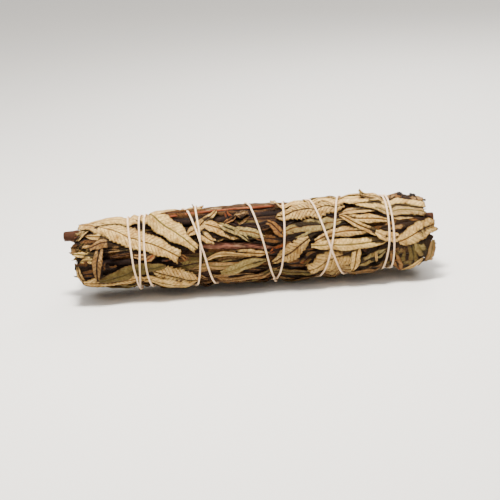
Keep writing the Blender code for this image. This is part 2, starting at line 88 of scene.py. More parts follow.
def place(x, radius, angle):
    """Points from x, radius and angle, in millimetres."""
    turn = angle + SHOW_TILT
    return np.stack([x + 0 * turn, -radius * np.cos(turn), AXIS_HEIGHT + radius * np.sin(turn)], axis=-1)


def seen_angle(x, up):
    """Radians round the roll at which its outside is seen that far above its middle line."""
    outside = np.interp(x, *zip(*GIRTH))
    return math.asin(max(-EDGE_SINE, min(EDGE_SINE, up / outside)))


print("bed radius at the middle of the shown side:", round(float(bed_radius(0.0, 0.0)), 2), "mm")

# %% [markdown]
# The string's route
# One length of string runs from the right end to the left and back, always turning the same way, so its
# turns lean one way on the way out and the other way on the way back, and cross. Each turn is given by
# three places on the shown side: where it passes the upper edge, the middle and the lower edge. The
# leaves need the route before the string itself is made, because they are pressed down where it passes.

# %% Route of the string over the roll
STRING_TURNS = [  # x at the upper edge, the middle and the lower edge
    (77.8, 79.3, 76.0), (52.0, 45.6, 36.3), (20.3, 18.5, 11.4), (-29.0, -28.0, -33.6),
    (-60.5, -61.9, -64.9), (-68.4, -66.6, -63.9), (-58.0, -59.2, -56.8), (-37.6, -27.3, -20.7),
    (-2.1, 6.8, 12.8), (33.0, 42.1, 52.4), (75.4, 76.8, 72.0),
]
KNOT_X, KNOT_ANGLE = 76.0, 180.0
TAIL_TURN = 30.0  # degrees that each loose end goes on past the knot
TAIL_SHIFTS = (6.5, -5.5)
STRING_RADIUS = 0.60
ROUTE_STEP = 2.0


def smooth_through(knots, values, wanted):
    """A smooth curve through values at knots, read at the wanted places."""
    knots, values = np.asarray(knots, float), np.asarray(values, float)
    slopes = np.gradient(values, knots, axis=0)
    i = np.clip(np.searchsorted(knots, wanted, side="right") - 1, 0, len(knots) - 2)
    span = knots[i + 1] - knots[i]
    t = (wanted - knots[i]) / span
    if values.ndim == 2:
        t, span = t[:, None], span[:, None]
    blend = t * t * (3 - 2 * t)
    rise = span * (t * (1 - t) ** 2 * slopes[i] - t * t * (1 - t) * slopes[i + 1])
    return values[i] * (1 - blend) + values[i + 1] * blend + rise


def string_route(step):
    """x and angle of the string's centre line about every step millimetres."""
    turned, xs = [KNOT_ANGLE + TAIL_TURN, KNOT_ANGLE], [KNOT_X + TAIL_SHIFTS[0], KNOT_X]
    for number, turn in enumerate(STRING_TURNS):
        for x, quarter in zip(turn, (90, 0, -90)):
            turned.append(quarter - 360 * number)
            xs.append(x)
    last = KNOT_ANGLE - 360 * len(STRING_TURNS)
    turned += [last, last - TAIL_TURN]
    xs += [KNOT_X, KNOT_X + TAIL_SHIFTS[1]]
    count = round(math.radians(turned[0] - turned[-1]) * MEAN_RADIUS / step)
    angles = np.linspace(turned[0], turned[-1], count)
    return smooth_through([-a for a in turned], xs, -angles), np.radians(angles)


ROUTE = string_route(ROUTE_STEP)
print("string:", round(len(ROUTE[0]) * ROUTE_STEP * MM, 2), "m wound round the roll")

# %% [markdown]
# A map of the unrolled surface
# Real leaves pile up: each one lies on what was laid before it. A map with a cell for every half
# millimetre of the unrolled surface keeps the height reached so far, so that each new leaf can be draped
# over the pile, and no two leaves pass through each other. A second map keeps how far the stems stand
# out, because they don't give way under the string as leaves do.

# %% Height map, and how the string presses the pile
CELL = 0.5
MAP_REACH = 112.0
COLUMNS = int(2 * MAP_REACH / CELL)
ROWS = int(round(2 * math.pi * MEAN_RADIUS / CELL))
pile = np.zeros((COLUMNS, ROWS))  # before tying
surface = np.full((COLUMNS, ROWS), -2.0)  # after tying
stem_rise = np.zeros((COLUMNS, ROWS))
PRESS_REACH = 3.2  # how far from the string it presses the leaves
PRESSED_SHARE = 0.30  # what it leaves of their height
LOOSE_HEIGHT = 1.3  # a pile keeps its height up to here,
LOOSE_SHARE = 0.32  # rises more slowly from there,
LOOSE_ROOM = 5.0  # and never adds more than this
FILLING_HEIGHT = 1.3
FILLING_SOFTNESS = 4.0
SEARCH_REACH = 20.0  # cells further than this along the roll from a point of the route are left out
FAR = 99.0
STRING_SHADOW = 2.0


def cells(x, angle):
    """Map cells of some places."""
    column = np.clip(np.rint((x + MAP_REACH) / CELL).astype(int), 0, COLUMNS - 1)
    return column, np.rint(angle * MEAN_RADIUS / CELL).astype(int) % ROWS


def highest_near(chart, x, angle, reach):
    """The highest value of a map within reach cells of each place."""
    column, row = cells(x, angle)
    offsets = range(-reach, reach + 1)
    found = [chart[np.clip(column + i, 0, COLUMNS - 1), (row + j) % ROWS] for i in offsets for j in offsets]
    return np.max(found, axis=0)


def raise_map(chart, x, angle, height, reach=1):
    """Lifts the cells round each place to at least its height."""
    column, row = cells(x, angle)
    for i in range(-reach, reach + 1):
        for j in range(-reach, reach + 1):
            np.maximum.at(chart, (np.clip(column + i, 0, COLUMNS - 1), (row + j) % ROWS), height)


def distance_map():
    """Distance of every cell from the string's route."""
    x = (np.arange(COLUMNS) * CELL - MAP_REACH)[:, None]
    around = (np.arange(ROWS) * CELL)[None, :]
    length = ROWS * CELL
    nearest = np.full((COLUMNS, ROWS), FAR)
    for route_x, route_angle in zip(*ROUTE):
        low = max(0, int((route_x + MAP_REACH - SEARCH_REACH) / CELL))
        high = min(COLUMNS, int((route_x + MAP_REACH + SEARCH_REACH) / CELL))
        apart = (around - route_angle * MEAN_RADIUS + length / 2) % length - length / 2
        nearest[low:high] = np.minimum(nearest[low:high], np.hypot(x[low:high] - route_x, apart))
    return nearest


from_string = distance_map()


def squeezed(height, x, angle):
    """Heights in the pile after tying: what lies above the stems gives way, most of all near the string."""
    near = from_string[cells(x, angle)]
    share = PRESSED_SHARE + (1 - PRESSED_SHARE) * (1 - np.exp(-((near / PRESS_REACH) ** 2)))
    stem = stem_rise[cells(x, angle)]
    above = np.maximum(height - stem, 0)
    loose = np.maximum(above - LOOSE_HEIGHT, 0) * LOOSE_SHARE
    above = np.minimum(above, LOOSE_HEIGHT) + LOOSE_ROOM * (1 - np.exp(-loose / LOOSE_ROOM))
    return np.minimum(height, stem) + above * share


def packed(height):
    """Heights in the filling, which is pressed hard and never rises far, however much was piled up."""
    return FILLING_HEIGHT * (1 - np.exp(-height / FILLING_SOFTNESS))


def on_the_floor(points):
    """Points pressed flat, from a millimetre up, where they would go through the floor."""
    z = points[:, 2]
    points[:, 2] = np.where(z < 1.0, np.exp(np.minimum(z, 1.0) - 1.0), z)
    return points


under_string = float((from_string < STRING_SHADOW).mean())
print("map:", COLUMNS, "by", ROWS, "cells;", round(under_string * 100), "% lie under the string")

# %% [markdown]
# Writing materials as sums
# A finish is easier to read as arithmetic than as a picture of nodes. A Signal stands for one output of
# the material's nodes; adding or multiplying two of them adds the Math node that does it.

# %% A small language for materials
class Signal:
    """One output of a material's nodes, with arithmetic."""

    def __init__(self, finish, socket):
        self.finish, self.socket = finish, socket

    def math(self, operation, *others, first=None):
        values = [self, *others] if first is None else [first, self]
        return self.finish.add("Math", {"operation": operation}, dict(enumerate(values)))

    def __add__(self, other):
        return self.math("ADD", other)

    def __sub__(self, other):
        return self.math("SUBTRACT", other)

    def __rsub__(self, other):
        return self.math("SUBTRACT", first=other)

    def __mul__(self, other):
        return self.math("MULTIPLY", other)

    def __truediv__(self, other):
        return self.math("DIVIDE", other)

    __radd__, __rmul__ = __add__, __mul__

    def clamp(self):
        return self.finish.add("Clamp", {}, {0: self, 1: 0.0, 2: 1.0})

    def step(self, low, high):
        """0 below low, 1 above high, and smooth between them."""
        settings = {"interpolation_type": "SMOOTHSTEP"}
        return self.finish.add("MapRange", settings, {0: self, 1: low, 2: high, 3: 0.0, 4: 1.0})


class Finish:
    """One procedural material."""

    def __init__(self, name):
        self.material = bpy.data.materials.new(name)
        self.material.use_nodes = True
        self.tree = self.material.node_tree
        self.shader = self.tree.nodes["Principled BSDF"]

    def connect(self, socket, value):
        if isinstance(value, Signal):
            self.tree.links.new(value.socket, socket)
        else:
            socket.default_value = value

    def add(self, kind, settings, sockets, output=0):
        """A node of some kind, its settings first, then the values or links of its sockets."""
        node = self.tree.nodes.new("ShaderNode" + kind)
        for key, value in settings.items():
            setattr(node, key, value)
        for key, value in sockets.items():
            self.connect(node.inputs[key], value)
        return Signal(self, node.outputs[output])

    def mix(self, share, first, second, blend="MIX"):
        """A colour between two others."""
        settings = {"data_type": "RGBA", "blend_type": blend}
        return self.add("Mix", settings, {0: share, 6: first, 7: second}, 2)

    def attribute(self, name, output="Vector"):
        return self.add("Attribute", {"attribute_name": name}, {}, output)

    def parts(self, vector):
        """The three numbers of a vector."""
        node = self.tree.nodes.new("ShaderNodeSeparateXYZ")
        self.connect(node.inputs[0], vector)
        return [Signal(self, output) for output in node.outputs]

    def object_place(self, scale=(1, 1, 1)):
        coordinates = self.add("TexCoord", {}, {}, "Object")
        return self.add("Mapping", {}, {"Vector": coordinates, "Scale": scale})

    def noise(self, vector, scale, detail=3.0, roughness=0.55):
        sockets = {"Vector": vector, "Scale": scale, "Detail": detail, "Roughness": roughness}
        return self.add("TexNoise", {}, sockets, "Fac")

    def use(self, socket, value):
        self.connect(self.shader.inputs[socket], value)

    def bump(self, height, strength, distance):
        sockets = {"Strength": strength, "Distance": distance, "Height": height}
        self.use("Normal", self.add("Bump", {}, sockets))


def colour(code):
    """A colour written as six hexadecimal digits, as the linear numbers that a shader takes."""
    values = [int(code[i : i + 2], 16) / 255 for i in (0, 2, 4)]
    return (*[v / 12.92 if v < 0.04045 else ((v + 0.055) / 1.055) ** 2.4 for v in values], 1.0)


print("cream in linear numbers:", [round(v, 3) for v in colour("E8C276")])

# %% [markdown]
# Leaf finish
# A dried leaf isn't one colour. Its blade has a tone of its own, its midrib another, fine side veins run
# out from the midrib, a net fills the space between them, and the rim and the spots that were bruised
# turn brown. Leaves deep in the roll get painted shade, darker and browner. Each leaf carries its tones and
# its own ruler, millimetres along and across, as attributes, so one material serves them all and its veins
# follow every leaf.

# %% Tones, and the leaf material
TONES = {
    "cream": "E8C276", "pale": "D2AD69", "sage": "A08D57", "olive": "6E5E33", "moss": "4C401D",
    "tan": "9C794B", "straw": "BC9D65", "amber": "906434", "brown": "61401F", "rust": "7E3F1B",
    "dark": "2E1C11", "ink": "180D08",
}
SIDE_VEIN_SPACING = 2.3
VEIN_LEAN = 0.85  # how far the side veins run forward as they run out
WORN = (0.42, 0.33, 0.28, 1.0)  # a tone is multiplied by these where it is bruised,
DUSTY = (1.20, 1.28, 1.55, 1.0)  # where its pale felt is whole,
CLOUDED = colour("A8875A")  # and where it is a little browner
TORN_RIM = colour("5A4026")
DEEP_SHADE = colour("180E08")


def leaf_finish():
    leaf = Finish("dry leaf")
    along, across, edge = leaf.parts(leaf.attribute("leaf_place"))
    blade = leaf.attribute("leaf_colour", "Color")
    rib = leaf.attribute("rib_colour", "Color")
    depth = leaf.attribute("depth", "Fac")
    out = across.math("ABSOLUTE")
    where = leaf.object_place()
    wander = leaf.noise(where, 700.0, 2.0)
    midrib = 1 - (out + wander * 0.3).step(0.30, 0.75)
    phase = ((along - out * VEIN_LEAN) / SIDE_VEIN_SPACING + wander * 0.35).math("FRACT")
    ribbed = leaf.attribute("ribs", "Fac")
    side_vein = (1 - (phase - 0.5).math("ABSOLUTE").step(0.02, 0.15)) * ribbed.clamp()
    flat = leaf.add("CombineXYZ", {}, {0: along, 1: across, 2: 0.0})
    cells_apart = {"Vector": flat, "Scale": 0.95, "Randomness": 0.9}
    to_net = leaf.add("TexVoronoi", {"feature": "DISTANCE_TO_EDGE"}, cells_apart, "Distance")
    net = 1 - to_net.step(0.01, 0.10)
    blotch = leaf.noise(where, 150.0, 5.0, 0.62)
    speck = leaf.noise(where, 900.0, 3.0, 0.6)
    tone_clouded = leaf.mix(1.0, blade, CLOUDED, "MULTIPLY")
    tone_worn = leaf.mix(1.0, blade, WORN, "MULTIPLY")
    tone_pale = leaf.mix(1.0, blade, DUSTY, "MULTIPLY")
    tone = leaf.mix(blotch.step(0.50, 0.72) * 0.75, blade, tone_worn)
    tone = leaf.mix((1 - blotch.step(0.28, 0.46)) * 0.80, tone, tone_pale)
    tone = leaf.mix(speck.step(0.58, 0.72) * 0.60, tone, tone_worn)
    cloud = leaf.noise(where, 330.0, 3.0, 0.6)
    tone = leaf.mix((1 - cloud.step(0.34, 0.60)) * 0.55, tone, tone_clouded)
    tone = leaf.mix(net * 0.42, tone, rib)
    tone = leaf.mix(side_vein * 0.85, tone, rib)
    tone = leaf.mix(midrib * 0.95, tone, rib)
    tone = leaf.mix((edge + wander * 0.35).step(0.98, 1.14) * 0.7, tone, TORN_RIM)
    # Painted shade: points that lie deep under other leaves are darkened almost to black.
    tone = leaf.mix(depth.step(0.0, 0.65) * 0.93, tone, DEEP_SHADE)
    leaf.use("Base Color", tone)
    leaf.use("Roughness", 0.72 + speck * 0.22)
    leaf.use("Sheen Weight", 0.03)
    leaf.use("Specular IOR Level", 0.07)
    relief = speck * 0.4 + cloud * 1.4 + wander * 0.25 - midrib * 0.9 - side_vein * 0.6 - net * 0.4
    leaf.bump(relief, 0.9, 0.0008)
    return leaf.material


dry_leaf = leaf_finish()
print("leaf material:", len(dry_leaf.node_tree.nodes), "nodes")

# %% [markdown]
# Flat leaves to start from
# What repeats is modelled once. A leaf starts as a flat grid, one unit long and two wide, with its rows
# ready to become ribs. Large leaves that face the viewer get a fine grid, the others a plainer one, and
# the many small scraps of the filling only a few dozen faces.

# %% The three grids
def deselect():
    bpy.ops.object.select_all(action="DESELECT")


def flat_leaf(name, rows, across):
    """A flat grid from 0 to 1 along X and -1 to 1 along Y."""
    deselect()
    bpy.ops.mesh.primitive_grid_add(x_subdivisions=rows, y_subdivisions=across, size=2)
    grid = bpy.context.object
    grid.name = name
    bpy.ops.object.mode_set(mode="EDIT")
    bpy.ops.mesh.select_all(action="SELECT")
    bpy.ops.transform.resize(value=(0.5, 1, 1), center_override=(-1, 0, 0))
    bpy.ops.transform.translate(value=(1, 0, 0))
    bpy.ops.object.mode_set(mode="OBJECT")
    return grid


GRIDS = {
    "fine": flat_leaf("fine_grid", 84, 8),
    "plain": flat_leaf("plain_grid", 30, 6),
    "small": flat_leaf("small_grid", 12, 4),
}
print("faces:", {name: len(grid.data.polygons) for name, grid in GRIDS.items()})

# %% [markdown]
# Laying one leaf
# A leaf is drawn out from its grid in three moves. Its outline is a long oval with small teeth. Its
# relief is what drying did to it: halves folded up or down along the midrib, corrugation between the side
# veins, a wavy rim and a crumple. Then it is draped: every point is lifted to what already lies there,
# the leaf evens this out because it is stiff, and its root is tucked under. The map is raised for the
# next leaf.

# %% Shape a grid into a leaf on the pile
LEAF_FIELDS = "x0 angle0 x1 angle1 half_width bow fold tip tone rib detail lift ribs radius"
Leaf = namedtuple("Leaf", LEAF_FIELDS, defaults=(0, 1, None))
LEAF_THICKNESS = 0.26
LAYER_GAP = 0.10
ROOT_WIDTH = 0.34  # a leaf is never narrower at its root than this share of its width
RIB_DEPTH = {"fine": 0.38, "plain": 0.12, "small": 0.0}
TOOTH_DEPTH = 0.08
ROLLED_MARGIN = 0.7
HALF_BULGE = 0.19
STIFFNESS = 0.55
TORN = 0.8
TUCKED_DEPTH = 1.1
TUCKED_SHARE = 0.14  # of a leaf's length, from its root
FILLED_RELIEF = 0.45  # share of its own relief that a leaf doesn't add to the pile
FREE_RELIEF = 0.15  # share of it that tying leaves to it
FILLING_SUNK = 0.7
INNER_SUNK = 0.5
FAINT_VEINS = 0.35  # how much of its side veins even a flat leaf shows


def wave(places, draw):
    """A wave over some places, which starts anywhere."""
    return np.sin(places + draw.uniform(0, 6))


def outline(s, leaf, draw):
    """Half width of a leaf at each share of its length: a long oval, blunt where its tip is broken off."""
    oval = np.sin(math.pi * np.clip(s, 0, 1) ** 0.85) ** 0.6
    blunt = np.maximum(oval, leaf.tip * (0.6 + 0.4 * s))
    width = np.where(s < 0.4, np.maximum(oval, ROOT_WIDTH), blunt)
    waves = 1 + 0.08 * wave(9 * s, draw) + 0.06 * wave(23 * s, draw)
    return leaf.half_width * width * waves


def relief_of(s, t, width, length, leaf, draw):
    """Height of each point of a leaf over its own middle plane."""
    out = np.abs(t)
    fold = leaf.fold * width * (out if leaf.fold > 0 else out**1.4)
    ribs = 0.5 + 0.5 * np.cos(2 * math.pi * (s * length - out * width * VEIN_LEAN) / SIDE_VEIN_SPACING)
    ribs = leaf.ribs * RIB_DEPTH[leaf.detail] * ribs * np.clip(out * 4, 0, 1) * (1 - 0.3 * out)
    side = np.where(t > 0, 0.0, draw.uniform(1, 5))
    rim = 0.50 * out**2 * wave(2 * math.pi * s * length / draw.uniform(9, 15) + side, draw)
    crumple = 0.40 * wave(s * length / 2.9 + 3 * t, draw) * np.sin(2.3 * t + s * 7)
    crumple += 0.48 * wave(s * length / 6.5 - 2 * t, draw)
    crumple += 0.22 * wave(s * length / 1.1 + 2 * t, draw) * wave(4.1 * t, draw)
    crumple -= ROLLED_MARGIN * out**6 * draw.uniform(0.3, 1.0)
    crumple += HALF_BULGE * np.minimum(width, 3.5) * np.sin(math.pi * out**0.8) * draw.uniform(0.6, 1.2)
    crumple += draw.uniform(-0.14, 0.14) * width * t
    relief = fold + ribs + rim + crumple
    return relief - relief.min() * 0.8


def neighbours(values, reach):
    """The values within reach places of each, along the last axis."""
    edges = [(0, 0)] * (values.ndim - 1) + [(reach, reach)]
    padded = np.pad(values, edges, mode="edge")
    return [padded[..., i : i + values.shape[-1]] for i in range(2 * reach + 1)]


def spread(values, reach):
    return np.max(neighbours(values, reach), axis=0)


def averaged(values, reach):
    return np.mean(neighbours(values, reach), axis=0)


def evened(height, rows, across):
    """The height that a stiff leaf takes over an uneven pile: high spots hold it up, hollows are bridged."""
    table = averaged(spread(height.reshape(across, rows).T, 1), 1).T
    reach = max(1, rows // 12)
    bridged = averaged(spread(table, reach), reach)
    yielding = averaged(spread(table, 1), 1)
    return (STIFFNESS * bridged + (1 - STIFFNESS) * yielding).ravel()


def copy_of(source, name):
    """A copy with its own mesh, and its points."""
    made = bpy.data.objects.new(name, source.data.copy())
    bpy.context.scene.collection.objects.link(made)
    points = np.empty(len(made.data.vertices) * 3)
    made.data.vertices.foreach_get("co", points)
    return made, points.reshape(-1, 3)


def shade_smooth(made):
    made.data.polygons.foreach_set("use_smooth", [True] * len(made.data.polygons))


def remember(made, name, kind, values):
    """Keeps a value for each point of a leaf, for its material to read."""
    field = {"FLOAT": "value", "FLOAT_VECTOR": "vector", "FLOAT_COLOR": "color"}[kind]
    made.data.attributes.new(name, kind, "POINT").data.foreach_set(field, values)


def lay_leaf(leaf, draw, in_filling=False):
    """One leaf as its own object, draped over the pile, or at its own radius if it is inside the roll."""
    made, flat = copy_of(GRIDS[leaf.detail], "leaf")
    count = len(flat)
    s, t = flat[:, 0], flat[:, 1]
    across = len(np.unique(np.round(t, 5)))
    rows = count // across
    start = np.array([leaf.x0, leaf.angle0 * MEAN_RADIUS])
    reach = np.array([leaf.x1, leaf.angle1 * MEAN_RADIUS]) - start
    length = float(np.hypot(*reach))
    forward = reach / length
    sideways = np.array([-forward[1], forward[0]])
    width = outline(s, leaf, draw)
    teeth = 1 - TOOTH_DEPTH * leaf.ribs * np.abs(t) ** 6 * ((s * length / SIDE_VEIN_SPACING) % 1.0)
    torn = wave(5 * t, draw) + 0.6 * wave(13 * t, draw) - 0.6
    s_place = s + TORN * leaf.tip / length * torn * np.clip((s - 0.7) / 0.3, 0, 1)
    shift = width * t * teeth + leaf.bow * np.sin(math.pi * s)
    shift += draw.uniform(-0.5, 0.5) * np.sin(2 * math.pi * s)
    x = start[0] + reach[0] * s_place + sideways[0] * shift
    angle = (start[1] + reach[1] * s_place + sideways[1] * shift) / MEAN_RADIUS
    relief = relief_of(s, t, width, length, leaf, draw)
    if leaf.radius is None:
        under = highest_near(pile if in_filling else np.maximum(pile, stem_rise), x, angle, 1)
        tucked = TUCKED_DEPTH * np.clip(1 - s / TUCKED_SHARE, 0, 1) ** 2
        height = evened(under, rows, across) + LAYER_GAP + LEAF_THICKNESS + relief - tucked
        raise_map(pile, x, angle, height - FILLED_RELIEF * relief)
        if in_filling:
            settled = packed(height) - FILLING_SUNK
        else:
            settled = squeezed(height, x, angle) + FREE_RELIEF * relief
        raise_map(surface, x, angle, settled)
        settled = settled + leaf.lift * np.clip((s - 0.5) / 0.5, 0, 1) ** 2
        radius = bed_radius(x, angle) + settled
    else:
        curled = np.clip((s - 0.45) / 0.55, 0, 1)
        radius = leaf.radius + relief - INNER_SUNK + leaf.lift * curled**1.5
        x = x - np.sign(reach[0]) * abs(min(leaf.lift, 0)) * 0.3 * curled**2
        height = radius - bed_radius(x, angle)
    points = on_the_floor(place(x, radius, angle)) * MM
    made.data.vertices.foreach_set("co", points.ravel())
    ruler = np.stack([s * length, width * t, np.maximum(np.abs(t), s**6)], axis=-1)
    remember(made, "leaf_place", "FLOAT_VECTOR", ruler.ravel())
    for name, tone in (("leaf_colour", leaf.tone), ("rib_colour", leaf.rib)):
        light = draw.uniform(0.88, 1.12) if name == "leaf_colour" else 1.0
        value = [min(1.0, v * light) for v in colour(TONES[tone])[:3]] + [1.0]
        remember(made, name, "FLOAT_COLOR", value * count)
    remember(made, "ribs", "FLOAT", [FAINT_VEINS + 0.25 * leaf.ribs] * count)
    remember(made, "unrolled", "FLOAT_VECTOR", np.stack([x, angle, height], axis=-1).ravel())
    shade_smooth(made)
    return made


print("a leaf can have", ", ".join(TONES), "as its tone")

# %% [markdown]
# The pressed mass inside
# Between the outer leaves a mass of crushed leaf shows in the gaps; it is coloured near black, as painted
# shade for those gaps. It starts as a sphere, because a sphere is closed and its poles can become the two
# ends. Its rings are drawn out along the roll and given the roll's girth, and a fine noise makes the folded
# edges of the leaves inside.

# %% Draw a sphere out into the mass
SIDE_SHARE = 0.86  # of the sphere's rings that go to the side of the roll
CAP_SHARE = 0.14  # and to its two ends
RIM_LENGTH = 7.0
MASS_SUNK = 1.3  # below the bed that the leaves lie on


def inner_mass():
    deselect()
    lying = (0, math.pi / 2, 0)
    bpy.ops.mesh.primitive_uv_sphere_add(segments=132, ring_count=180, radius=1, rotation=lying)
    mass = bpy.context.object
    mass.name = "inner_mass"
    bpy.ops.object.transform_apply(location=True, rotation=True, scale=True)
    for vertex in mass.data.vertices:
        polar = math.acos(max(-1.0, min(1.0, vertex.co.x)))
        along = (0.5 - polar / math.pi) * 2
        angle = math.atan2(vertex.co.z, -vertex.co.y) - SHOW_TILT
        share = abs(along)
        x = math.copysign(CORE_END * min(1.0, share / SIDE_SHARE), along)
        rim = max(0.0, (abs(x) - (CORE_END - RIM_LENGTH)) / RIM_LENGTH)
        inwards = 1 - 0.22 * rim**2
        if share > SIDE_SHARE:
            inwards *= (1 - share) / CAP_SHARE
        folds = noise.noise(Vector((x * 0.05, math.cos(angle) * 9, math.sin(angle) * 9)))
        grain = noise.noise(Vector((x * 0.4, math.cos(angle) * 16, math.sin(angle) * 16)))
        radius = (float(bed_radius(x, angle)) - MASS_SUNK + 0.7 * folds + 0.3 * grain) * inwards
        hollow = math.copysign(4.5 * (1 - inwards) * (0.7 + folds), along) if share > SIDE_SHARE else 0.0
        vertex.co = Vector(place(x - hollow, radius, np.array(angle))) * MM
    shade_smooth(mass)
    return mass


def shaded_mass_finish():
    mass = Finish("crushed leaf")
    lengthwise = mass.object_place((0.25, 1, 1))
    streak = mass.noise(lengthwise, 900.0, 5.0, 0.65)
    patch = mass.noise(mass.object_place(), 120.0, 3.0)
    # Painted shade: the near-black base stands for the shade in the gaps where the mass shows; its streaks
    # and patches are the crushed leaf's own.
    tone = mass.mix(streak.step(0.35, 0.70), colour("0E0805"), colour("2E1F12"))
    tone = mass.mix(patch.step(0.55, 0.75) * 0.5, tone, colour("45371C"))
    along, _, _ = mass.parts(mass.object_place())
    at_end = along.math("ABSOLUTE").step((CORE_END - 5) * MM, CORE_END * MM)
    tone = mass.mix(at_end * streak.step(0.3, 0.6), tone, colour("4E3820"))
    mass.use("Base Color", tone)
    mass.use("Roughness", 0.92)
    mass.use("Specular IOR Level", 0.03)
    mass.bump(streak, 0.8, 0.0005)
    return mass.material


core = inner_mass()
core.data.materials.append(shaded_mass_finish())
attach(core, "root")
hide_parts("leaf_bunch")
print("inner mass:", len(core.data.polygons), "faces")

# %% [markdown]
# Stems
# Stripped twigs run through the roll, and a few lie open on it. A stem starts as a cylinder. Its long
# edges are cut into rings, its ends are inset so that the bark has a thickness round the wood, and the
# rings are then strung along the stem's route. Long wrinkles, small knots and leaf scars are pushed into
# the bark.

# %% One straight stem to start from
STEM_SIDES = 22
STEM_RINGS = 110
BARK_WALL = 0.16  # share of the radius


def straight_stem():
    deselect()
    bpy.ops.mesh.primitive_cylinder_add(vertices=STEM_SIDES, radius=1, depth=1, location=(0, 0, 0.5))
    bar = bpy.context.object
    bpy.ops.object.transform_apply(location=True, rotation=True, scale=True)
    bpy.ops.object.mode_set(mode="EDIT")
    bpy.ops.mesh.select_mode(type="FACE")
    bpy.ops.mesh.select_all(action="DESELECT")
    bpy.ops.object.mode_set(mode="OBJECT")
    for face in bar.data.polygons:
        face.select = abs(face.normal.z) > 0.9
    bpy.ops.object.mode_set(mode="EDIT")
    bpy.ops.mesh.inset(thickness=BARK_WALL)
    bpy.ops.mesh.select_mode(type="EDGE")
    bpy.ops.mesh.select_all(action="DESELECT")
    bpy.ops.object.mode_set(mode="OBJECT")
    for edge in bar.data.edges:
        low, high = (bar.data.vertices[i].co for i in edge.vertices)
        edge.select = abs(low.z - high.z) > 0.5
    bpy.ops.object.mode_set(mode="EDIT")
    bpy.ops.mesh.subdivide(number_cuts=STEM_RINGS)
    bpy.ops.object.mode_set(mode="OBJECT")
    bar.name = "straight_stem"
    return bar


STRAIGHT_STEM = straight_stem()
print("straight stem:", len(STRAIGHT_STEM.data.polygons), "faces")

# %% [markdown]
# Routes of the stems
# The routes are the solid model's own: a diameter, then points of x, height as seen and distance towards
# the viewer. Each finished stem raises the stem map, so that leaves laid later pass over it.

# %% String the rings along each stem's route
SCAR_SPACING = 31
SCAR_WIDTH = 1.6
SCAR_RISE = 0.13
STEMS = {
    "stem_upper": (5.6, [(-104.9, 12.2, 4.5), (-80, 12.4, 8.0), (-58, 13.4, 11.4), (-38, 14.2, 13.0),
                         (-14, 13.6, 13.8), (6, 14.6, 12.9), (24, 13.4, 12.6), (48, 10.0, 10.6),
                         (76, 7.6, 8.6), (103.4, 6.1, 7.0)]),
    "stem_middle": (4.3, [(-98.5, 1.5, 1.5), (-70, 1.6, 7.0), (-46, 1.4, 14.0), (-27, 0.6, 18.7),
                          (-4, -1.3, 19.3), (12, -2.6, 18.4), (34, -3.0, 12.5), (66, -1.6, 5.0),
                          (99.5, -1.0, 1.0)]),
    "stem_lower": (4.8, [(-97.0, -5.0, 10.5), (-82, -4.4, 15.4), (-62, -5.6, 16.8), (-44, -7.2, 16.6),
                         (-28, -8.4, 14.8), (0, -9.0, 11.0), (50, -9.0, 8.0), (98.0, -8.4, 7.0)]),
    "stem_top": (4.6, [(-96.5, 12.5, -4.5), (-60, 16.0, -1.6), (-30, 19.5, 2.2), (-4, 20.2, 3.0),
                       (18, 19.4, 3.0), (44, 15.0, -1.0), (70, 12.6, -3.4), (98.5, 12.0, -4.5)]),
    "stem_heart": (5.2, [(-99.5, -3.5, -7.0), (-40, -2.0, -5.0), (20, 0.0, -4.5), (60, 3.0, -5.5),
                         (97.5, 4.5, -6.5)]),
    "stem_back_high": (4.4, [(-97.5, 7.0, -13.0), (-60, 7.4, -16.0), (-36, 7.6, -17.8), (-8, 6.6, -18.4),
                             (18, 5.6, -17.4), (50, 2.0, -14.0), (97.0, -4.0, -14.0)]),
    "stem_back_low": (4.0, [(-96.0, -10.5, -8.5), (-50, -11.0, -10.5), (0, -11.8, -12.4),
                            (34, -12.4, -14.6), (56, -12.0, -15.4), (80, -10.6, -13.0),
                            (98.0, -10.0, -10.0)]),
    "twig_red": (1.5, [(-55, 17.6, 13.9), (-38, 18.7, 13.2), (-14, 19.6, 12.2), (15, 19.6, 11.6)]),
}


def seen_point(x, up, towards):
    return place(x, math.hypot(up, towards), np.array(math.atan2(up, towards)))


def ring_frames(points, count):
    """Centres and two cross directions of evenly spaced rings along a route."""
    line = np.array([seen_point(*p) for p in points])
    gone = np.concatenate([[0], np.cumsum(np.linalg.norm(np.diff(line, axis=0), axis=1))])
    centres = smooth_through(gone, line, np.linspace(0, gone[-1], count))
    along = np.gradient(centres, axis=0)
    along /= np.linalg.norm(along, axis=1)[:, None]
    up = np.array([0.0, 0.0, 1.0]) - along * along[:, 2:3]
    up /= np.linalg.norm(up, axis=1)[:, None]
    return centres, np.cross(along, up), up, gone[-1]


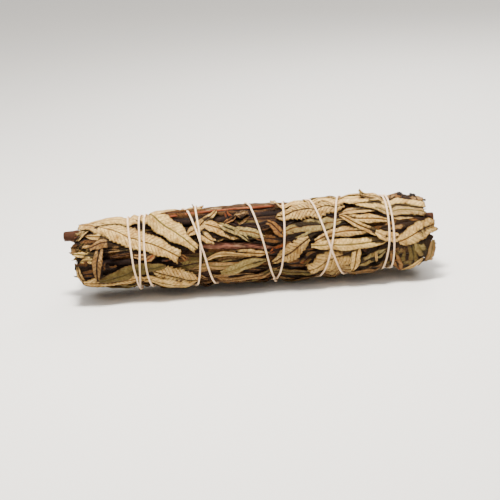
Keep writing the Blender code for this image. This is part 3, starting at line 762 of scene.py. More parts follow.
def strung_stem(name, diameter, points, roughness=1.0):
    """A copy of the straight stem, strung along its route with bark relief."""
    made, co = copy_of(STRAIGHT_STEM, name + "_bark")
    ring = np.rint(np.clip(co[:, 2], 0, 1) * (STEM_RINGS + 1)).astype(int)
    centres, side, up, length = ring_frames(points, STEM_RINGS + 2)
    around = np.arctan2(co[:, 1], co[:, 0])
    share = np.hypot(co[:, 0], co[:, 1])
    along = ring / (STEM_RINGS + 1) * length
    seed = sum(ord(letter) for letter in name)
    relief = []
    for distance, turn in zip(along, around):
        c, s = math.cos(turn), math.sin(turn)
        wrinkle = noise.noise(Vector((distance * 0.09 + seed, c * 3.2, s * 3.2)))
        lump = noise.noise(Vector((distance * 0.22 + seed, c * 1.1, s * 1.1)))
        relief.append(0.10 * wrinkle + 0.09 * lump)
    middle = SCAR_SPACING // 2
    scars = np.array([math.exp(-(((d + seed) % SCAR_SPACING - middle) / SCAR_WIDTH) ** 2) for d in along])
    radius = diameter / 2 * (share * (1 + roughness * np.array(relief) + SCAR_RISE * scars))
    outwards = side[ring] * np.cos(around)[:, None] + up[ring] * np.sin(around)[:, None]
    strung = centres[ring] + outwards * radius[:, None]
    made.data.vertices.foreach_set("co", (strung * MM).ravel())
    for face in made.data.polygons:
        ends = {ring[i] for i in face.vertices}
        flat_end = len(ends) == 1
        face.use_smooth = not flat_end
        face.material_index = 1 if flat_end and len(face.vertices) > 4 else 0
    seen = strung[share > 0.99]
    turn = np.arctan2(seen[:, 2] - AXIS_HEIGHT, -seen[:, 1]) - SHOW_TILT
    over = np.hypot(seen[:, 1], seen[:, 2] - AXIS_HEIGHT) - bed_radius(seen[:, 0], turn)
    raise_map(stem_rise, seen[:, 0], turn, np.maximum(over, 0.0))
    return made


def bark_finish(name, dark, light, pale, pale_share):
    bark = Finish(name)
    where = bark.object_place()
    streak = bark.noise(bark.object_place((0.16, 1, 1)), 1500.0, 4.0, 0.6)
    patch = bark.noise(bark.object_place((0.45, 1, 1)), 230.0, 4.0, 0.6)
    speck = bark.noise(where, 2300.0, 2.0)
    tone = bark.mix(streak.step(0.30, 0.72), colour(dark), colour(light))
    tone = bark.mix(patch.step(0.52, 0.66) * pale_share, tone, colour(pale))
    tone = bark.mix(speck.step(0.62, 0.72) * (0.3 * pale_share), tone, colour("B79A78"))
    along, _, _ = bark.parts(where)
    near_end = along.math("ABSOLUTE").step((CORE_END - 8) * MM, CORE_END * MM)
    tone = bark.mix(near_end * 0.45, tone, colour("5A3826"))
    bark.use("Base Color", tone)
    bark.use("Roughness", 0.62 + streak * 0.3)
    bark.use("Specular IOR Level", 0.10)
    bark.bump(streak * 0.7 + patch * 0.6, 0.7, 0.0004)
    return bark.material


def cut_wood_finish():
    wood = Finish("cut wood")
    rough = wood.noise(wood.object_place((0.3, 1, 1)), 1900.0, 3.0)
    ring = wood.noise(wood.object_place(), 420.0, 3.0)
    tone = wood.mix(rough.step(0.3, 0.7), colour("463220"), colour("84663F"))
    tone = wood.mix(ring.step(0.5, 0.7) * 0.6, tone, colour("35221A"))
    wood.use("Base Color", tone)
    wood.use("Roughness", 0.85)
    wood.bump(rough, 0.6, 0.0003)
    return wood.material


cut_wood = cut_wood_finish()
BARKS = {  # each from its dark streaks to its light ones, then its pale patches and how strong they are
    "stem_upper": bark_finish("dark bark", "0A0504", "20110C", "462E20", 0.30),
    "stem_middle": bark_finish("reddish bark", "462820", "8A5A46", "AC8868", 0.6),
    "stem_top": bark_finish("rough bark", "2A1B12", "594029", "A68A62", 0.85),
    "twig_red": bark_finish("young bark", "56281A", "86482C", "A4704A", 0.5),
}
SAME_BARK_AS = {
    "stem_lower": "stem_upper",
    "stem_heart": "stem_middle",
    "stem_back_high": "stem_middle",
    "stem_back_low": "stem_top",
}

for stem_name, (diameter, points) in STEMS.items():
    bark = strung_stem(stem_name, diameter, points, 2.0 if stem_name == "stem_top" else 1.0)
    bark.data.materials.append(BARKS[SAME_BARK_AS.get(stem_name, stem_name)])
    bark.data.materials.append(cut_wood)
    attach(bark, "root")
    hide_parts(stem_name)
stem_rise[:] = averaged(spread(averaged(spread(stem_rise, 2), 2).T, 2), 2).T
print("stems:", len(STEMS), "highest above the bed:", round(float(stem_rise.max()), 1), "mm")

# %% [markdown]
# The filling
# Under the leaves that can be made out one by one lies a layer of small crushed ones that closes the roll.
# Their dark tones are partly their own and partly painted shade for the gaps. Nobody would place these by
# hand, so a seeded draw does it, all round and from end to end.

# %% Small dark leaves all round
FILLING = 330
ROLL_END = 98.0
draw = random.Random(5)


def joined(objects, name):
    """Several leaves as one closed piece with a real thickness."""
    deselect()
    for one in objects:
        one.select_set(True)
    bpy.context.view_layer.objects.active = objects[0]
    bpy.ops.object.join()
    made = bpy.context.object
    made.name = made.data.name = name
    made.data.materials.clear()
    made.data.materials.append(dry_leaf)
    wall = made.modifiers.new("thickness", "SOLIDIFY")
    wall.thickness = LEAF_THICKNESS * MM
    wall.offset = -1
    bpy.ops.object.modifier_apply(modifier=wall.name)
    bpy.ops.object.shade_smooth_by_angle(angle=math.radians(55))
    return made


filling = []
for number in range(FILLING):
    around = math.radians(draw.uniform(0, 360))
    start = draw.uniform(-97, 70)
    length = draw.uniform(20, 44)
    if draw.random() < 0.5:
        start, length = start + length, -length
    end = max(-ROLL_END, min(ROLL_END, start + length))
    if abs(end - start) < 12:
        continue
    start = max(-97.0, min(97.0, start))
    swing = math.radians(draw.uniform(-16, 16))
    # Mostly dark tones: partly the crushed leaves' own colour, partly painted shade in the gaps.
    tone = draw.choice(["brown", "dark", "olive", "brown", "moss", "moss", "dark", "ink", "tan"])
    row = Leaf(start, around, end, around + swing, draw.uniform(2.4, 4.6), draw.uniform(-1.5, 1.5),
               draw.uniform(-0.25, 0.4), 0.15, tone, "dark", "small")
    filling.append(lay_leaf(row, draw, in_filling=True))
pile[:] = packed(pile)
print("filling:", len(filling), "leaves; pile", round(float(pile.mean()), 2), "mm on average")

# %% [markdown]
# Narrow leaves in the gaps
# Between the large leaves one sees the edges of many narrow, folded ones. They run along the roll too,
# lie below the leaves that are listed one by one, and are drawn for the shown side only.

# %% Narrow folded leaves under the large ones
GAP_LEAVES = 190
BARE_STEM = 0.9  # where a stem stands out this far, no narrow leaf crosses it
gap_leaves = []
draw = random.Random(11)
for number in range(GAP_LEAVES):
    around = math.radians(draw.uniform(-92, 92))
    start = draw.uniform(-96, 78)
    length = draw.uniform(11, 27)
    end = start + length
    if draw.random() < 0.5:
        start, end = end, start
    tone = draw.choice(["pale", "tan", "brown", "olive", "sage", "moss", "tan", "brown", "dark"])
    turned = around + math.radians(draw.uniform(-14, 14))
    row = Leaf(start, around, end, turned, draw.uniform(0.8, 1.9), draw.uniform(-1.6, 1.6),
               draw.uniform(0.2, 0.9), draw.uniform(0.05, 0.4), tone, "dark", "plain")
    line = cells(np.linspace(start, end, 12), np.linspace(around, turned, 12))
    if stem_rise[line].max() < BARE_STEM:
        gap_leaves.append(lay_leaf(row, draw))
print("gap leaves:", len(gap_leaves))

# %% [markdown]
# Crumpled leaves near the ends
# Near the two ends the leaves aren't laid out but crumpled: short pieces, torn and turned every way. They
# can't be told apart in the photograph, so a seeded draw lays them, before the leaves that can.

# %% Crumpled pieces near the ends
LEFT_STOP, RIGHT_STOP = -97.5, 102.0
CRUMPLED = [  # from x to x, from degrees to degrees, number, tones
    (60, 101, -80, -22, 38, ["olive", "moss", "tan", "sage", "brown", "tan", "pale"]),
    (-97, -84, -60, 20, 20, ["brown", "dark", "rust", "olive", "moss", "brown"]),
]
for low, high, lowest, uppermost, number, tones in CRUMPLED:
    for _ in range(number):
        x0, around = draw.uniform(low, high), math.radians(draw.uniform(lowest, uppermost))
        turn = math.radians(draw.choice([0, 180]) + draw.gauss(0, 45))
        length = draw.uniform(8, 15)
        x1 = max(LEFT_STOP, min(RIGHT_STOP, x0 + length * math.cos(turn)))
        tone = draw.choice(tones)
        turned = around + length * math.sin(turn) / MEAN_RADIUS
        row = Leaf(x0, around, x1, turned, draw.uniform(1.8, 3.6), draw.uniform(-2, 2),
                   draw.uniform(-0.1, 0.5), draw.uniform(0.3, 0.8), tone, "dark", "plain")
        gap_leaves.append(lay_leaf(row, draw))
print("with the crumpled ones:", len(gap_leaves))

# %% [markdown]
# Leaves of the shown side
# These were measured one by one, from the lowest to the topmost, so each has a row of its own. A row says
# where the leaf starts, where its tip is, half its width, how much it bows sideways, how its halves are
# folded (up above 0, down below 0), how blunt its tip is, its tone, the tone of its midrib, its grid and
# how far its tip curls up. Some rows add how strongly the leaf is ribbed, where 1 is usual, and the two
# that close the roll under the red twig the radius at which they lie.

# %% The rows, lowest leaf first
SHOW_LEAVES = {
    "twig_bed_left": (-54, 18.6, -16, 18.8, 4.0, 0, -0.05, 0.6, "brown", "dark", "plain", 0, 1, 21.8),
    "twig_bed_right": (-20, 18.8, 15, 18.9, 4.0, 0, -0.05, 0.6, "brown", "dark", "plain", 0, 1, 21.8),
    # The two stem_shadow rows are near-black ink leaves along the stem's underside: painted shadow.
    "stem_shadow": (-9, 9.6, 20, 9.0, 2.6, 0, -0.1, 0.5, "ink", "dark", "plain", 0),
    "stem_shadow_left": (-48, 9.0, -12, 9.4, 2.4, 0, -0.1, 0.5, "ink", "dark", "plain", 0),
    "crown_left": (-87.5, 21.0, -56, 22.0, 4, 0, -0.2, 0.3, "pale", "brown", "plain", 0),
    "dark_side": (-86, -6, -99, -5, 3.6, 0, 0.5, 0.7, "brown", "ink", "plain", 0),
    "dark_end": (-82, -12, -96.5, -11, 4.0, 0, 0.3, 0.8, "dark", "ink", "plain", 0),
    "end_lining": (-83, -8, -98, -9.5, 2.4, 0, 0.4, 0.6, "brown", "ink", "plain", 0),
    "end_rim": (-97.0, -5, -92.0, -17.0, 1.9, -1.0, 0.1, 0.5, "pale", "dark", "plain", 0),
    "end_small": (-82, 7.6, -95.5, 5.2, 2.6, 0.6, -0.3, 0.6, "pale", "brown", "plain", 0),
    "end_brown": (-82, 10.0, -99.5, 8.0, 3.4, 0, 0.1, 0.9, "brown", "dark", "plain", 0),
    "end_red": (-82, 10.8, -98.5, 11.2, 1.9, 0, -0.9, 0.7, "rust", "dark", "plain", 0),
    "end_tongue": (-77, 8.2, -92, 10.2, 2.0, 0, 0.2, 0.2, "cream", "brown", "plain", 0),
    "end_yellow": (-88, 16.0, -96.5, 8.5, 2.2, 0, 0.3, 0.6, "pale", "olive", "plain", 0),
    "end_pair": (-84, -0.5, -100.0, 1.6, 2.0, 0, 0.7, 0.1, "cream", "olive", "plain", 0),
    "end_pair_low": (-84, -2.0, -95.5, -2.8, 1.9, 0, 0.5, 0.3, "pale", "olive", "plain", 0),
    "rim_low": (-95, -13.8, -62, -16.2, 7.2, 0, -0.1, 0.4, "pale", "brown", "fine", 0, 2.2),
    "belly_tri": (-31.5, -19.0, -56, -10.5, 7.2, 0, -0.1, 0.1, "pale", "dark", "fine", 0, 2.6),
    "belly": (-64, -15.5, -33, -20, 5, -1, -0.15, 0.1, "cream", "dark", "fine", 0),
    "olive_low": (-86, -13, -48, -8, 4.6, 0, -0.15, 0.1, "olive", "moss", "fine", 0),
    "petiole": (-59, -5.5, -51.5, -0.5, 1.6, 0, -0.5, 0.7, "tan", "rust", "plain", 0.6),
    "twiglet": (-50, -5.6, -36, -5.8, 0.8, 0.5, -0.9, 0.3, "rust", "dark", "plain", 0),
    "spot": (-40, -4.2, -35, -6.0, 1.2, 0, 0.3, 0.6, "amber", "dark", "plain", 0),
    "hanging": (-82.5, 6.0, -86.8, -13.4, 2.8, -1.2, 0.75, 0.25, "tan", "ink", "plain", 0, 2),
    "hook": (-72.5, 4.4, -89.5, 3.6, 3.2, -2.4, -0.35, 0.5, "tan", "dark", "plain", 0.3),
    "top_fill": (-54, 20.0, -34, 21.0, 3.2, 0, -0.1, 0.5, "tan", "brown", "plain", 0),
    "top_strip": (-70, 21, -25, 22.2, 4, 0, -0.2, 0.2, "cream", "tan", "fine", 0),
    "big_high": (-92, 17.5, -55, 17.5, 6.5, 0.5, -0.1, 0.3, "cream", "tan", "fine", 0, 1.0),
    "end_cap": (-70.5, 6.0, -95.4, 17.0, 4.4, -0.6, -0.3, 0.95, "pale", "brown", "fine", 0, 0.4),
    "big_low": (-84, 14, -40, -4.5, 6.8, 1, -0.1, 0.55, "cream", "brown", "fine", 0, 1.9),
    "ribbed": (-61, 19.0, -30, -1.2, 5.6, 0.3, -0.12, 0.5, "cream", "olive", "fine", 0, 1.1),
    "scrap": (-30, 9, -20, 2, 2.8, 0, 0.3, 0.6, "pale", "brown", "plain", 0.4),
    "slant": (-35, 6.5, -17.5, 18, 3.0, 0, 0.5, 0.05, "pale", "brown", "fine", 0.6),
    "netted": (-26, 12, -2.5, 3, 3.4, 0, 0.3, 0.1, "pale", "brown", "fine", 0),
    "bark_tear": (-6.5, 10, -13, 17.5, 2.4, 1.0, 0.5, 0.6, "rust", "dark", "plain", 0.5),
    "bark_strip": (-14, 11, -7, 14.5, 1.4, 0, 0.5, 0.4, "amber", "dark", "plain", 0.8),
    "bark_crust": (-8, 15.0, 0, 16.5, 2.4, 0, -0.3, 0.6, "dark", "tan", "plain", 0),
    "thin_twig": (-6.5, 9.6, 0.5, 14.5, 0.6, 0, -0.9, 0.5, "straw", "brown", "plain", 0),
    "top_chip": (-26, 21.8, -31.5, 22.6, 1.6, 0, 0.4, 0.4, "pale", "brown", "plain", 2.0),
    "grey": (-10, 8, 8, 2.5, 3, 0.5, -0.4, 0.3, "sage", "brown", "plain", 0, 2.0),
    "curl": (-18, 11.5, -0.5, 0.5, 1.9, 0.8, 0.6, 0.1, "sage", "ink", "plain", 0),
    "under": (-24, -17, 5, -19, 2.8, 0, 0.6, 0.1, "tan", "dark", "plain", 0),
    "rolled": (-32, -12, -2, -10.5, 2.3, 0, 0.7, 0.1, "tan", "olive", "plain", 0),
    "dusty": (-9, -4.5, 10, -7, 2.2, 0, 0.5, 0.2, "pale", "brown", "plain", 0),
    "arch": (-27, -9, -2, -7, 1.3, 3, 0.9, 0.1, "pale", "tan", "plain", 0),
    "keel_a": (-18, -20, 18, -18, 2.6, 0, 0.7, 0.1, "tan", "dark", "plain", 0),
    "keel_b": (4, -17.5, 43.5, -20, 2.5, 0, 0.6, 0.1, "olive", "dark", "plain", 0),
    "green": (-18, -15, 8.5, -11, 3.8, 0.8, -0.2, 0.05, "sage", "olive", "fine", 0, 1.3),
    "brown_tip": (18, -14, 36, -12, 2.8, 0, 0.4, 0.1, "brown", "dark", "plain", 0.5),
    "green_curl": (26.5, -13.5, 36, -7.6, 2.4, 0.6, 0.6, 0.25, "moss", "rust", "plain", 0.8),
    "olive_mid": (53, 9, 15, 3.8, 3.8, -0.6, -0.2, 0.5, "sage", "brown", "fine", 0, 0.5),
    "brown_curl": (20, 2.2, 9.5, 10.2, 2.5, 0, 0.4, 0.6, "amber", "dark", "plain", 0.4),
    "rust_scrap": (20, -2.5, 10, -6.5, 2.2, 0, 0.5, 0.4, "rust", "dark", "plain", 0.4),
    "tan_broad": (56, -9, 30.5, -17.5, 8.4, 0, -0.06, 0.6, "pale", "dark", "fine", 0, 1.6),
    "tan_low": (57, -17, 36, -23, 4.4, 0, -0.1, 0.4, "straw", "dark", "fine", 0, 1.5),
    "moss_a": (58, -16, 75, -9.5, 3.2, 0, 0.4, 0.2, "sage", "dark", "plain", 0),
    "moss_b": (61, -20.5, 77, -16.5, 2.8, 0, 0.4, 0.3, "tan", "dark", "plain", 0),
    "hem": (50, -20.5, 79, -19.5, 2.4, 0, 0.2, 0.1, "tan", "dark", "plain", 0),
    "low_end_a": (78, -7, 101.0, -5.5, 4.6, 0, 0.1, 0.9, "tan", "dark", "plain", 0),
    "low_end_b": (76, -12.5, 101.0, -10.5, 4.6, 0, 0.1, 0.9, "tan", "dark", "plain", 0),
    "low_end_c": (74, -18, 98.5, -16.5, 5.0, 0, 0.1, 0.9, "olive", "dark", "plain", 0),
    "petal": (59, -6.5, 55.0, -18.5, 3.1, 0, -0.35, 0.1, "cream", "brown", "fine", 0.4),
    "stick": (68.3, -9.5, 68.8, -14.5, 0.8, 0, -0.9, 0.8, "cream", "tan", "plain", 0),
    "corrugated": (53.5, 17.3, 14.5, 12.6, 6.8, -1.6, -0.08, 0.05, "pale", "dark", "fine", 0, 3.4),
    "feather": (32, 0, 10.5, -12.5, 4.8, 0.5, -0.15, 0.05, "pale", "dark", "fine", 0, 2.0),
    "long_a": (35, -2, 70, 1.0, 3.0, 2.5, -0.3, 0.1, "pale", "brown", "fine", 0),
    "upper_b": (50, 10, 81, 6.5, 2.6, 0, 0.5, 0.1, "pale", "brown", "plain", 0),
    "upper_a": (50, 12.5, 78, 14, 2.8, 0.5, 0.4, 0.1, "pale", "brown", "plain", 0),
    "long_b": (33, -4.0, 82, -3.0, 3.3, -1.4, -0.2, 0.3, "cream", "olive", "fine", 0),
    "bright": (36, 20.8, 12.5, 19.6, 3.9, 0, -0.12, 0.3, "cream", "tan", "fine", 0.4, 2.0),
    "shade": (78, -2.5, 96, 4.5, 3.4, 0, 0.5, 0.3, "brown", "dark", "plain", 0),
    "straw_broad": (71.5, 1.6, 99.0, 5.4, 3.2, 0.8, -0.12, 0.5, "tan", "brown", "plain", 0),
    "drop_a": (79, -18, 84, -8, 3.1, 0, 0.3, 0.3, "olive", "dark", "plain", 0),
    "crumple": (77.5, -10.5, 83, -20, 3.2, 0, 0.5, 0.4, "tan", "rust", "plain", 0),
    "drop_b": (87.0, -5, 90.5, -19.5, 3.0, 0.8, 0.25, 0.4, "olive", "moss", "plain", 0),
    "drop_c": (90.5, -4.5, 97.8, -15.0, 3.0, 0, 0.3, 0.4, "sage", "olive", "plain", 0),
    "rim_right": (101.0, -6.0, 93.5, -18.5, 2.6, 2.2, 0.3, 0.7, "tan", "olive", "plain", 0),
    "sliver": (83, -21, 95, -13.6, 2.0, 0, 0.2, 0.1, "cream", "tan", "plain", 0.3),
    "back_brown": (79, 16.5, 80.5, 28, 5.0, 0, -0.1, 0.95, "tan", "dark", "plain", 0.2),
    "back_middle": (87, 16.5, 87.5, 28, 5.0, 0, -0.1, 0.95, "amber", "dark", "plain", 0.2),
    "back_end": (94.2, 15.5, 94.8, 28, 4.2, 0, -0.1, 0.95, "tan", "dark", "plain", 0.2),
    "burnt_a": (85.5, 18.5, 86.0, 28, 2.0, 0, 0.2, 0.8, "ink", "ink", "plain", 0.4),
    "burnt_b": (92.5, 18.0, 93.5, 28, 2.2, 0, 0.2, 0.8, "ink", "ink", "plain", 0.4),
    "amber_leaf": (80, 8.5, 101, 5.8, 2.6, 0, 0.6, 0.6, "amber", "brown", "plain", 0),
    "chip": (78.5, 9.5, 91, 6.5, 2.2, 0, 0.3, 0.2, "pale", "brown", "plain", 0),
    "crest": (58, 18.6, 98.3, 11.6, 5.9, 0.6, -0.14, 1.0, "cream", "olive", "fine", 0),
    "crest_low": (70, 13.6, 98.0, 8.6, 3.0, 0, -0.2, 0.9, "straw", "olive", "fine", 0),
    "crest_far": (76, 18.6, 31, 20.9, 4.4, 0, -0.1, 0.2, "cream", "tan", "fine", 0),
    "lance": (50.5, 11.5, 79, -6, 2.1, 0, 0.4, 0.05, "pale", "brown", "fine", 0),
    "fan_root": (69, 0.5, 85, -5.8, 3, 0, 0.4, 0.3, "cream", "tan", "plain", 0),
    "fan": (81.5, -5.4, 103.0, 2.4, 5.2, 0, -0.2, 0.95, "cream", "brown", "fine", 0),
    "tip_up": (74, 18.5, 62.5, 20.0, 3.0, 0, 0.2, 0.75, "pale", "olive", "plain", 4.2),
    "tip_roll": (77, 19.2, 63.5, 20.4, 2.4, 0, 0.7, 0.7, "pale", "brown", "plain", 1.6),
}
HALVES = {"left": [], "right": []}
for name, (x0, up0, x1, up1, *look) in SHOW_LEAVES.items():
    leaf = Leaf(x0, seen_angle(x0, up0), x1, seen_angle(x1, up1), *look)
    HALVES["left" if x0 + x1 < 0 else "right"].append(lay_leaf(leaf, random.Random(name)))
print("shown side:", {half: len(leaves) for half, leaves in HALVES.items()}, "leaves")

# %% [markdown]
# Leaves of the back and underside
# The rest of the roll is covered in the same way with leaves drawn by a rule: mostly along the roll,
# broad ones and rolled ones mixed, a few olive or brown among the pale ones.

# %% Leaves drawn for the hidden sides
BACK_FROM, BACK_TO = math.radians(88), math.radians(272)
BACK_LEAVES = 84
EVEN_TURN = 0.618  # of the hidden side from each leaf to the next, which never lines them up
STEMS_COVERED = math.radians(125)  # from here on the leaves cross the stems
draw = random.Random(17)
back = []
for number in range(BACK_LEAVES):
    around = BACK_FROM + (BACK_TO - BACK_FROM) * ((number * EVEN_TURN) % 1.0)
    length = draw.uniform(28, 58)
    start = draw.uniform(-ROLL_END, ROLL_END - length)
    end = start + length
    if draw.random() < 0.5:
        start, end = end, start
    swing = math.radians(draw.uniform(-20, 20))
    narrow = draw.random() < 0.35
    half_width = draw.uniform(2.0, 3.0) if narrow else draw.uniform(3.6, 6.2)
    fold = draw.uniform(0.4, 0.7) if narrow else draw.uniform(-0.2, 0.12)
    tone = draw.choice(["cream", "pale", "pale", "sage", "sage", "olive", "tan", "tan", "brown"])
    rib = draw.choice(["brown", "dark", "olive"])
    leaf = Leaf(start, around, end, around + swing, half_width, draw.uniform(-2, 2), fold,
                draw.choice([0.05, 0.1, 0.3, 0.5]), tone, rib, "plain", draw.choice([0, 0, 0.6]))
    line = cells(np.linspace(start, end, 20), np.linspace(around, around + swing, 20))
    if around > STEMS_COVERED or spread(stem_rise, 14)[line].max() < BARE_STEM:
        back.append(lay_leaf(leaf, draw))
print("hidden sides:", len(back), "leaves; pile up to", round(float(pile.max()), 1), "mm")

# %% [markdown]
# Leaf ends in the two ends of the roll
# Looking at an end, one sees leaves edge on, folded and rolled round each other, and the cut stems
# between them. They lie in rings inside the roll, each at its own radius, and stand out by a few
# millimetres.

# %% Folded leaf ends
END_RINGS = ((2.5, 6), (5.5, 12), (8.5, 18), (11.5, 22), (14.3, 26), (16.6, 28))  # radius, leaves in it
END_LENGTH = 16.0
ends = []
draw = random.Random(23)
for end in (-1, 1):
    for ring_radius, count in END_RINGS:
        for number in range(count):
            around = 2 * math.pi * (number + draw.uniform(-0.3, 0.3)) / count
            tip = end * (CORE_END + draw.uniform(0.5, 5.0) - 0.10 * ring_radius)
            half_width = draw.uniform(1.8, 3.8) * MEAN_RADIUS / ring_radius
            tone = draw.choice(["pale", "tan", "straw", "olive", "cream", "tan", "sage", "cream"])
            inwards = -draw.uniform(0.8, 5.0) * min(1.0, ring_radius / 8)
            leaf = Leaf(tip - end * END_LENGTH, around, tip, around + draw.uniform(-0.5, 0.5), half_width,
                        draw.uniform(-1, 1), draw.uniform(-0.2, 0.3), draw.uniform(0.2, 0.45), tone, "dark",
                        "small", inwards, 1, ring_radius + draw.uniform(-1.0, 1.5))
            ends.append(lay_leaf(leaf, draw))
print("ends:", len(ends), "leaves")

# %% [markdown]
# How deep each point lies
# Leaves under others get painted shade, darker and browner, as light doesn't reach them. Now that the whole
# pile is known, every point of every leaf can be told how far it lies below the top of the pile round it.

# %% Depth of every leaf point for its painted shade, then one piece for each group
def smoothed(chart, reach):
    """A map averaged over a square of cells, wrapped round the roll."""
    total = np.zeros_like(chart)
    for i in range(-reach, reach + 1):
        for j in range(-reach, reach + 1):
            total += np.roll(np.roll(chart, i, axis=0), j, axis=1)
    return total / (2 * reach + 1) ** 2


top = smoothed(np.maximum(pile, stem_rise), 5)
# Painted shade: a point is darkened more the deeper it lies below the top of the pile, fully at 2 mm; inside
# the ends, from 4 mm to 12 mm in from the end face.
FULL_SHADE_BELOW = 2.0  # millimetres below the top of the pile
LIT_INTO_END = 4.0
FULL_SHADE_INTO_END = 12.0


# Gives every leaf point the amount of its painted shade: how deep it lies below the pile's top, or how far
# inside an end.
def shade_by_depth(leaf, inside=False):
    values = np.empty(len(leaf.data.vertices) * 3)
    leaf.data.attributes["unrolled"].data.foreach_get("vector", values)
    x, angle, height = values.reshape(-1, 3).T
    if inside:
        depth = (CORE_END - LIT_INTO_END - np.abs(x)) / (FULL_SHADE_INTO_END - LIT_INTO_END)
    else:
        depth = (top[cells(x, angle)] - height) / FULL_SHADE_BELOW
    remember(leaf, "depth", "FLOAT", np.clip(depth, 0, 1))
    leaf.data.attributes.remove(leaf.data.attributes["unrolled"])


groups = {
    "filling_leaves": filling,
    "gap_leaves": gap_leaves,
    "shown_leaves_left": HALVES["left"],
    "shown_leaves_right": HALVES["right"],
    "hidden_leaves": back,
    "end_leaves": ends,
}
for group_name, leaves in groups.items():
    for leaf in leaves:
        shade_by_depth(leaf, inside=leaves is ends)
    piece = joined(leaves, group_name)
    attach(piece, "root")
    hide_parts("leaf_bunch")
    print(group_name, len(piece.data.polygons), "faces")
for grid in [*GRIDS.values(), STRAIGHT_STEM]:
    bpy.data.objects.remove(grid)

# %% [markdown]
# The string
# Cotton string is made of plies twisted round each other. A round tube can't show that, so its cross
# section is a three-lobed one, and each point of the path is tilted a little more than the one before,
# which turns the lobes into a twist. The string lies on the leaves that it pressed down, and on itself
# where it crosses.

# %% Radius of the string's centre line
PATH_STEP = 0.45
TWIST_LAY = 4.2  # length in which the plies go round once
BITE = 0.75  # share of its radius that the string stands over what it lies on
STACKED = 1.9  # string radii from one turn to the one that crosses over it


def string_radius(x, angle):
    """Taut over the pressed leaves and the stems, and over earlier turns."""
    rest = np.maximum(highest_near(surface, x, angle, 1), highest_near(stem_rise, x, angle, 0))
    needed = bed_radius(x, angle) + rest + STRING_RADIUS * BITE
    radius = needed.copy()
    for _ in range(6):
        radius = np.maximum(averaged(radius, 8), needed)
    turn = int(2 * math.pi * MEAN_RADIUS / PATH_STEP)
    block = turn // 4
    for start in range(0, len(x), block):
        now, before = slice(start, start + block), slice(0, max(0, start - turn // 2))
        if before.stop:
            around = (angle[now][:, None] - angle[before][None, :] + math.pi) % (2 * math.pi) - math.pi
            gap = np.hypot(x[now][:, None] - x[before][None, :], around * MEAN_RADIUS)
            on_top = radius[before][None, :] + STACKED * STRING_RADIUS
            over = np.where(gap < 2 * STRING_RADIUS, on_top, 0).max(axis=1)
            radius[now] = np.maximum(radius[now], averaged(spread(over, 6), 4))
    return radius


route_x, route_angle = string_route(PATH_STEP)
route_radius = string_radius(route_x, route_angle)
string_stands = float((route_radius - bed_radius(route_x, route_angle)).mean())
print("string stands", round(string_stands, 2), "mm over the bed")

# %% [markdown]
# A twisted sweep, and the knot
# The path and the lobed section are both curves, and Blender sweeps one along the other. The knot is a
# short loop of the same string drawn tight, and the two cut ends stay a little open.

# %% Sweep the lobed section along the path
PLIES = 3
LOBE_DEPTH = 0.16
SECTION_POINTS = 15


def curve_through(name, points, cyclic=False, tilts=None):
    """A poly curve through points in millimetres."""
    data = bpy.data.curves.new(name, "CURVE")
    data.dimensions = "3D"
    data.twist_mode = "MINIMUM"
    spline = data.splines.new("POLY")
    spline.points.add(len(points) - 1)
    flat = np.concatenate([np.asarray(points) * MM, np.ones((len(points), 1))], axis=1)
    spline.points.foreach_set("co", flat.ravel())
    spline.use_cyclic_u = cyclic
    if tilts is not None:
        spline.points.foreach_set("tilt", tilts)
    made = bpy.data.objects.new(name, data)
    bpy.context.scene.collection.objects.link(made)
    return made


def lobed_section(radius):
    """A cross section with a lobe for each ply."""
    turns = np.linspace(0, 2 * math.pi, SECTION_POINTS, endpoint=False)
    reach = radius * (1 - LOBE_DEPTH + LOBE_DEPTH * np.cos(PLIES * turns))
    points = np.stack([reach * np.cos(turns), reach * np.sin(turns), 0 * turns], axis=-1)
    section = curve_through("section", points, cyclic=True)
    section.data.dimensions = "2D"
    return section


def swept_string(name, points, radius, step):
    tilts = np.arange(len(points)) * step / TWIST_LAY * 2 * math.pi
    path = curve_through(name, points, tilts=tilts)
    section = lobed_section(radius)
    path.data.bevel_mode = "OBJECT"
    path.data.bevel_object = section
    path.data.use_fill_caps = True
    deselect()
    path.select_set(True)
    bpy.context.view_layer.objects.active = path
    bpy.ops.object.convert(target="MESH")
    made = bpy.context.object
    bpy.data.objects.remove(section)
    shade_smooth(made)
    return made


def cotton_finish():
    cotton = Finish("cotton string")
    where = cotton.object_place()
    fibre = cotton.noise(where, 4200.0, 2.0, 0.7)
    stain = cotton.noise(where, 90.0, 3.0)
    tone = cotton.mix(fibre.step(0.3, 0.75), colour("DAB68E"), colour("FCE0BE"))
    tone = cotton.mix(stain.step(0.55, 0.8) * 0.35, tone, colour("B5935F"))
    cotton.use("Base Color", tone)
    cotton.use("Roughness", 0.88)
    cotton.use("Sheen Weight", 0.10)
    cotton.bump(fibre, 0.5, 0.00015)
    return cotton.material


FLOOR_GAP = 0.05
string_points = place(route_x, route_radius, route_angle)
string_points[:, 2] = np.maximum(string_points[:, 2], STRING_RADIUS + FLOOR_GAP)
string_piece = swept_string("wound_string", string_points, STRING_RADIUS, PATH_STEP)
cotton = cotton_finish()
string_piece.data.materials.append(cotton)
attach(string_piece, "root")
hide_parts("string")
print("string:", len(string_piece.data.polygons), "faces")

# %% Tie the knot
KNOT_STEP = 0.2


def knot_points():
    """A small trefoil drawn tight on the back, round both passes of the string."""
    turns = np.linspace(0, 2 * math.pi, 90)
    along = (np.sin(turns) + 2 * np.sin(2 * turns)) * 0.62
    around = (np.cos(turns) - 2 * np.cos(2 * turns)) * 0.72
    out = -np.sin(3 * turns) * 0.62
    at_knot = np.abs(route_angle - math.radians(KNOT_ANGLE)).argmin()
    radius = route_radius[at_knot] + 1.0 + out
    return place(KNOT_X + along, radius, math.radians(KNOT_ANGLE) + around / MEAN_RADIUS)


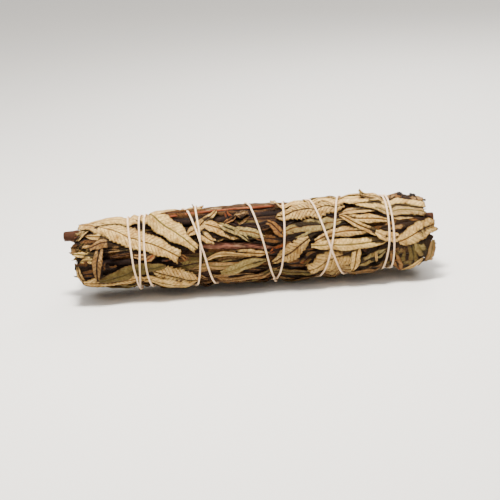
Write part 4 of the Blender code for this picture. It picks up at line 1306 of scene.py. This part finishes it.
knot = swept_string("string_knot", knot_points(), STRING_RADIUS, KNOT_STEP)
knot.data.materials.append(cotton)
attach(knot, "root")
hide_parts("string")
print("knot:", len(knot.data.polygons), "faces")

# %% [markdown]
# Floor, light and camera
# The roll lies on a plain pale floor. A broad soft light from above and a little in front makes the tops
# of the leaves bright and lets the gaps between them fall into shade, and a weaker one opens the shadows.
# The camera looks from the photograph's side and height through a long lens, and is rolled by the few
# degrees that the roll is turned in the picture.

# %% Floor and lights
deselect()
bpy.ops.mesh.primitive_plane_add(size=8)
floor = bpy.context.object
floor.name = "floor"
floor_finish = Finish("floor")
floor_finish.use("Base Color", colour("E9E6E1"))
floor_finish.use("Roughness", 0.9)
floor.data.materials.append(floor_finish.material)


def area_light(name, location, target, size, power, tint):
    bpy.ops.object.light_add(type="AREA", location=location)
    lamp = bpy.context.object
    lamp.name = name
    lamp.data.shape = "DISK"
    lamp.data.size = size
    lamp.data.energy = power
    lamp.data.color = tint
    lamp.rotation_euler = (Vector(target) - Vector(location)).to_track_quat("-Z", "Y").to_euler()
    return lamp


area_light("key", (-0.03, -0.10, 0.66), (0, 0, 0.02), 0.15, 13.0, (1.0, 0.96, 0.90))
area_light("ceiling", (0, 0, 3.0), (0, 0.001, 0), 6.0, 140.0, (1.0, 0.98, 0.95))
area_light("fill", (0.45, -0.7, 0.30), (0, 0, 0.02), 0.5, 0.6, (1.0, 0.97, 0.93))
area_light("rim", (0.2, 0.5, 0.45), (0, 0, 0.03), 0.3, 3.0, (1.0, 0.98, 0.95))
world = bpy.data.worlds.new("studio")
bpy.context.scene.world = world
world.use_nodes = True
world.node_tree.nodes["Background"].inputs["Color"].default_value = colour("F4F1EB")
world.node_tree.nodes["Background"].inputs["Strength"].default_value = 0.24
print("lights:", [o.name for o in bpy.data.objects if o.type == "LIGHT"])

# %% Camera at the photograph's angle
MM_PER_PIXEL = 0.57
FRAME_PIXELS = 500
CENTRE_PIXEL = (251.0, 243.15)  # where the middle of the roll is in the picture
CAMERA_ELEVATION = math.radians(20)
PICTURE_TURN = math.radians(4.68)  # how far the roll rises to the right
LENS = 90.0
SENSOR = 36.0

bpy.ops.object.camera_add()
camera = bpy.context.object
camera.data.lens = LENS
camera.data.sensor_width = SENSOR
level_right = Vector((1, 0, 0))
level_up = Vector((0, math.sin(CAMERA_ELEVATION), math.cos(CAMERA_ELEVATION)))
right = level_right * math.cos(PICTURE_TURN) - level_up * math.sin(PICTURE_TURN)
up = level_right * math.sin(PICTURE_TURN) + level_up * math.cos(PICTURE_TURN)
back_to_camera = right.cross(up)
distance = MM_PER_PIXEL * FRAME_PIXELS * LENS / SENSOR * MM
offset_right = (FRAME_PIXELS / 2 - CENTRE_PIXEL[0]) * MM_PER_PIXEL * MM
offset_up = (CENTRE_PIXEL[1] - FRAME_PIXELS / 2) * MM_PER_PIXEL * MM
target = Vector((0, 0, AXIS_HEIGHT * MM)) + right * offset_right + up * offset_up
turned = Matrix((right, up, back_to_camera)).transposed()
camera.matrix_world = Matrix.Translation(target + back_to_camera * distance) @ turned.to_4x4()
bpy.context.scene.camera = camera
print("camera", round(distance, 3), "m away")
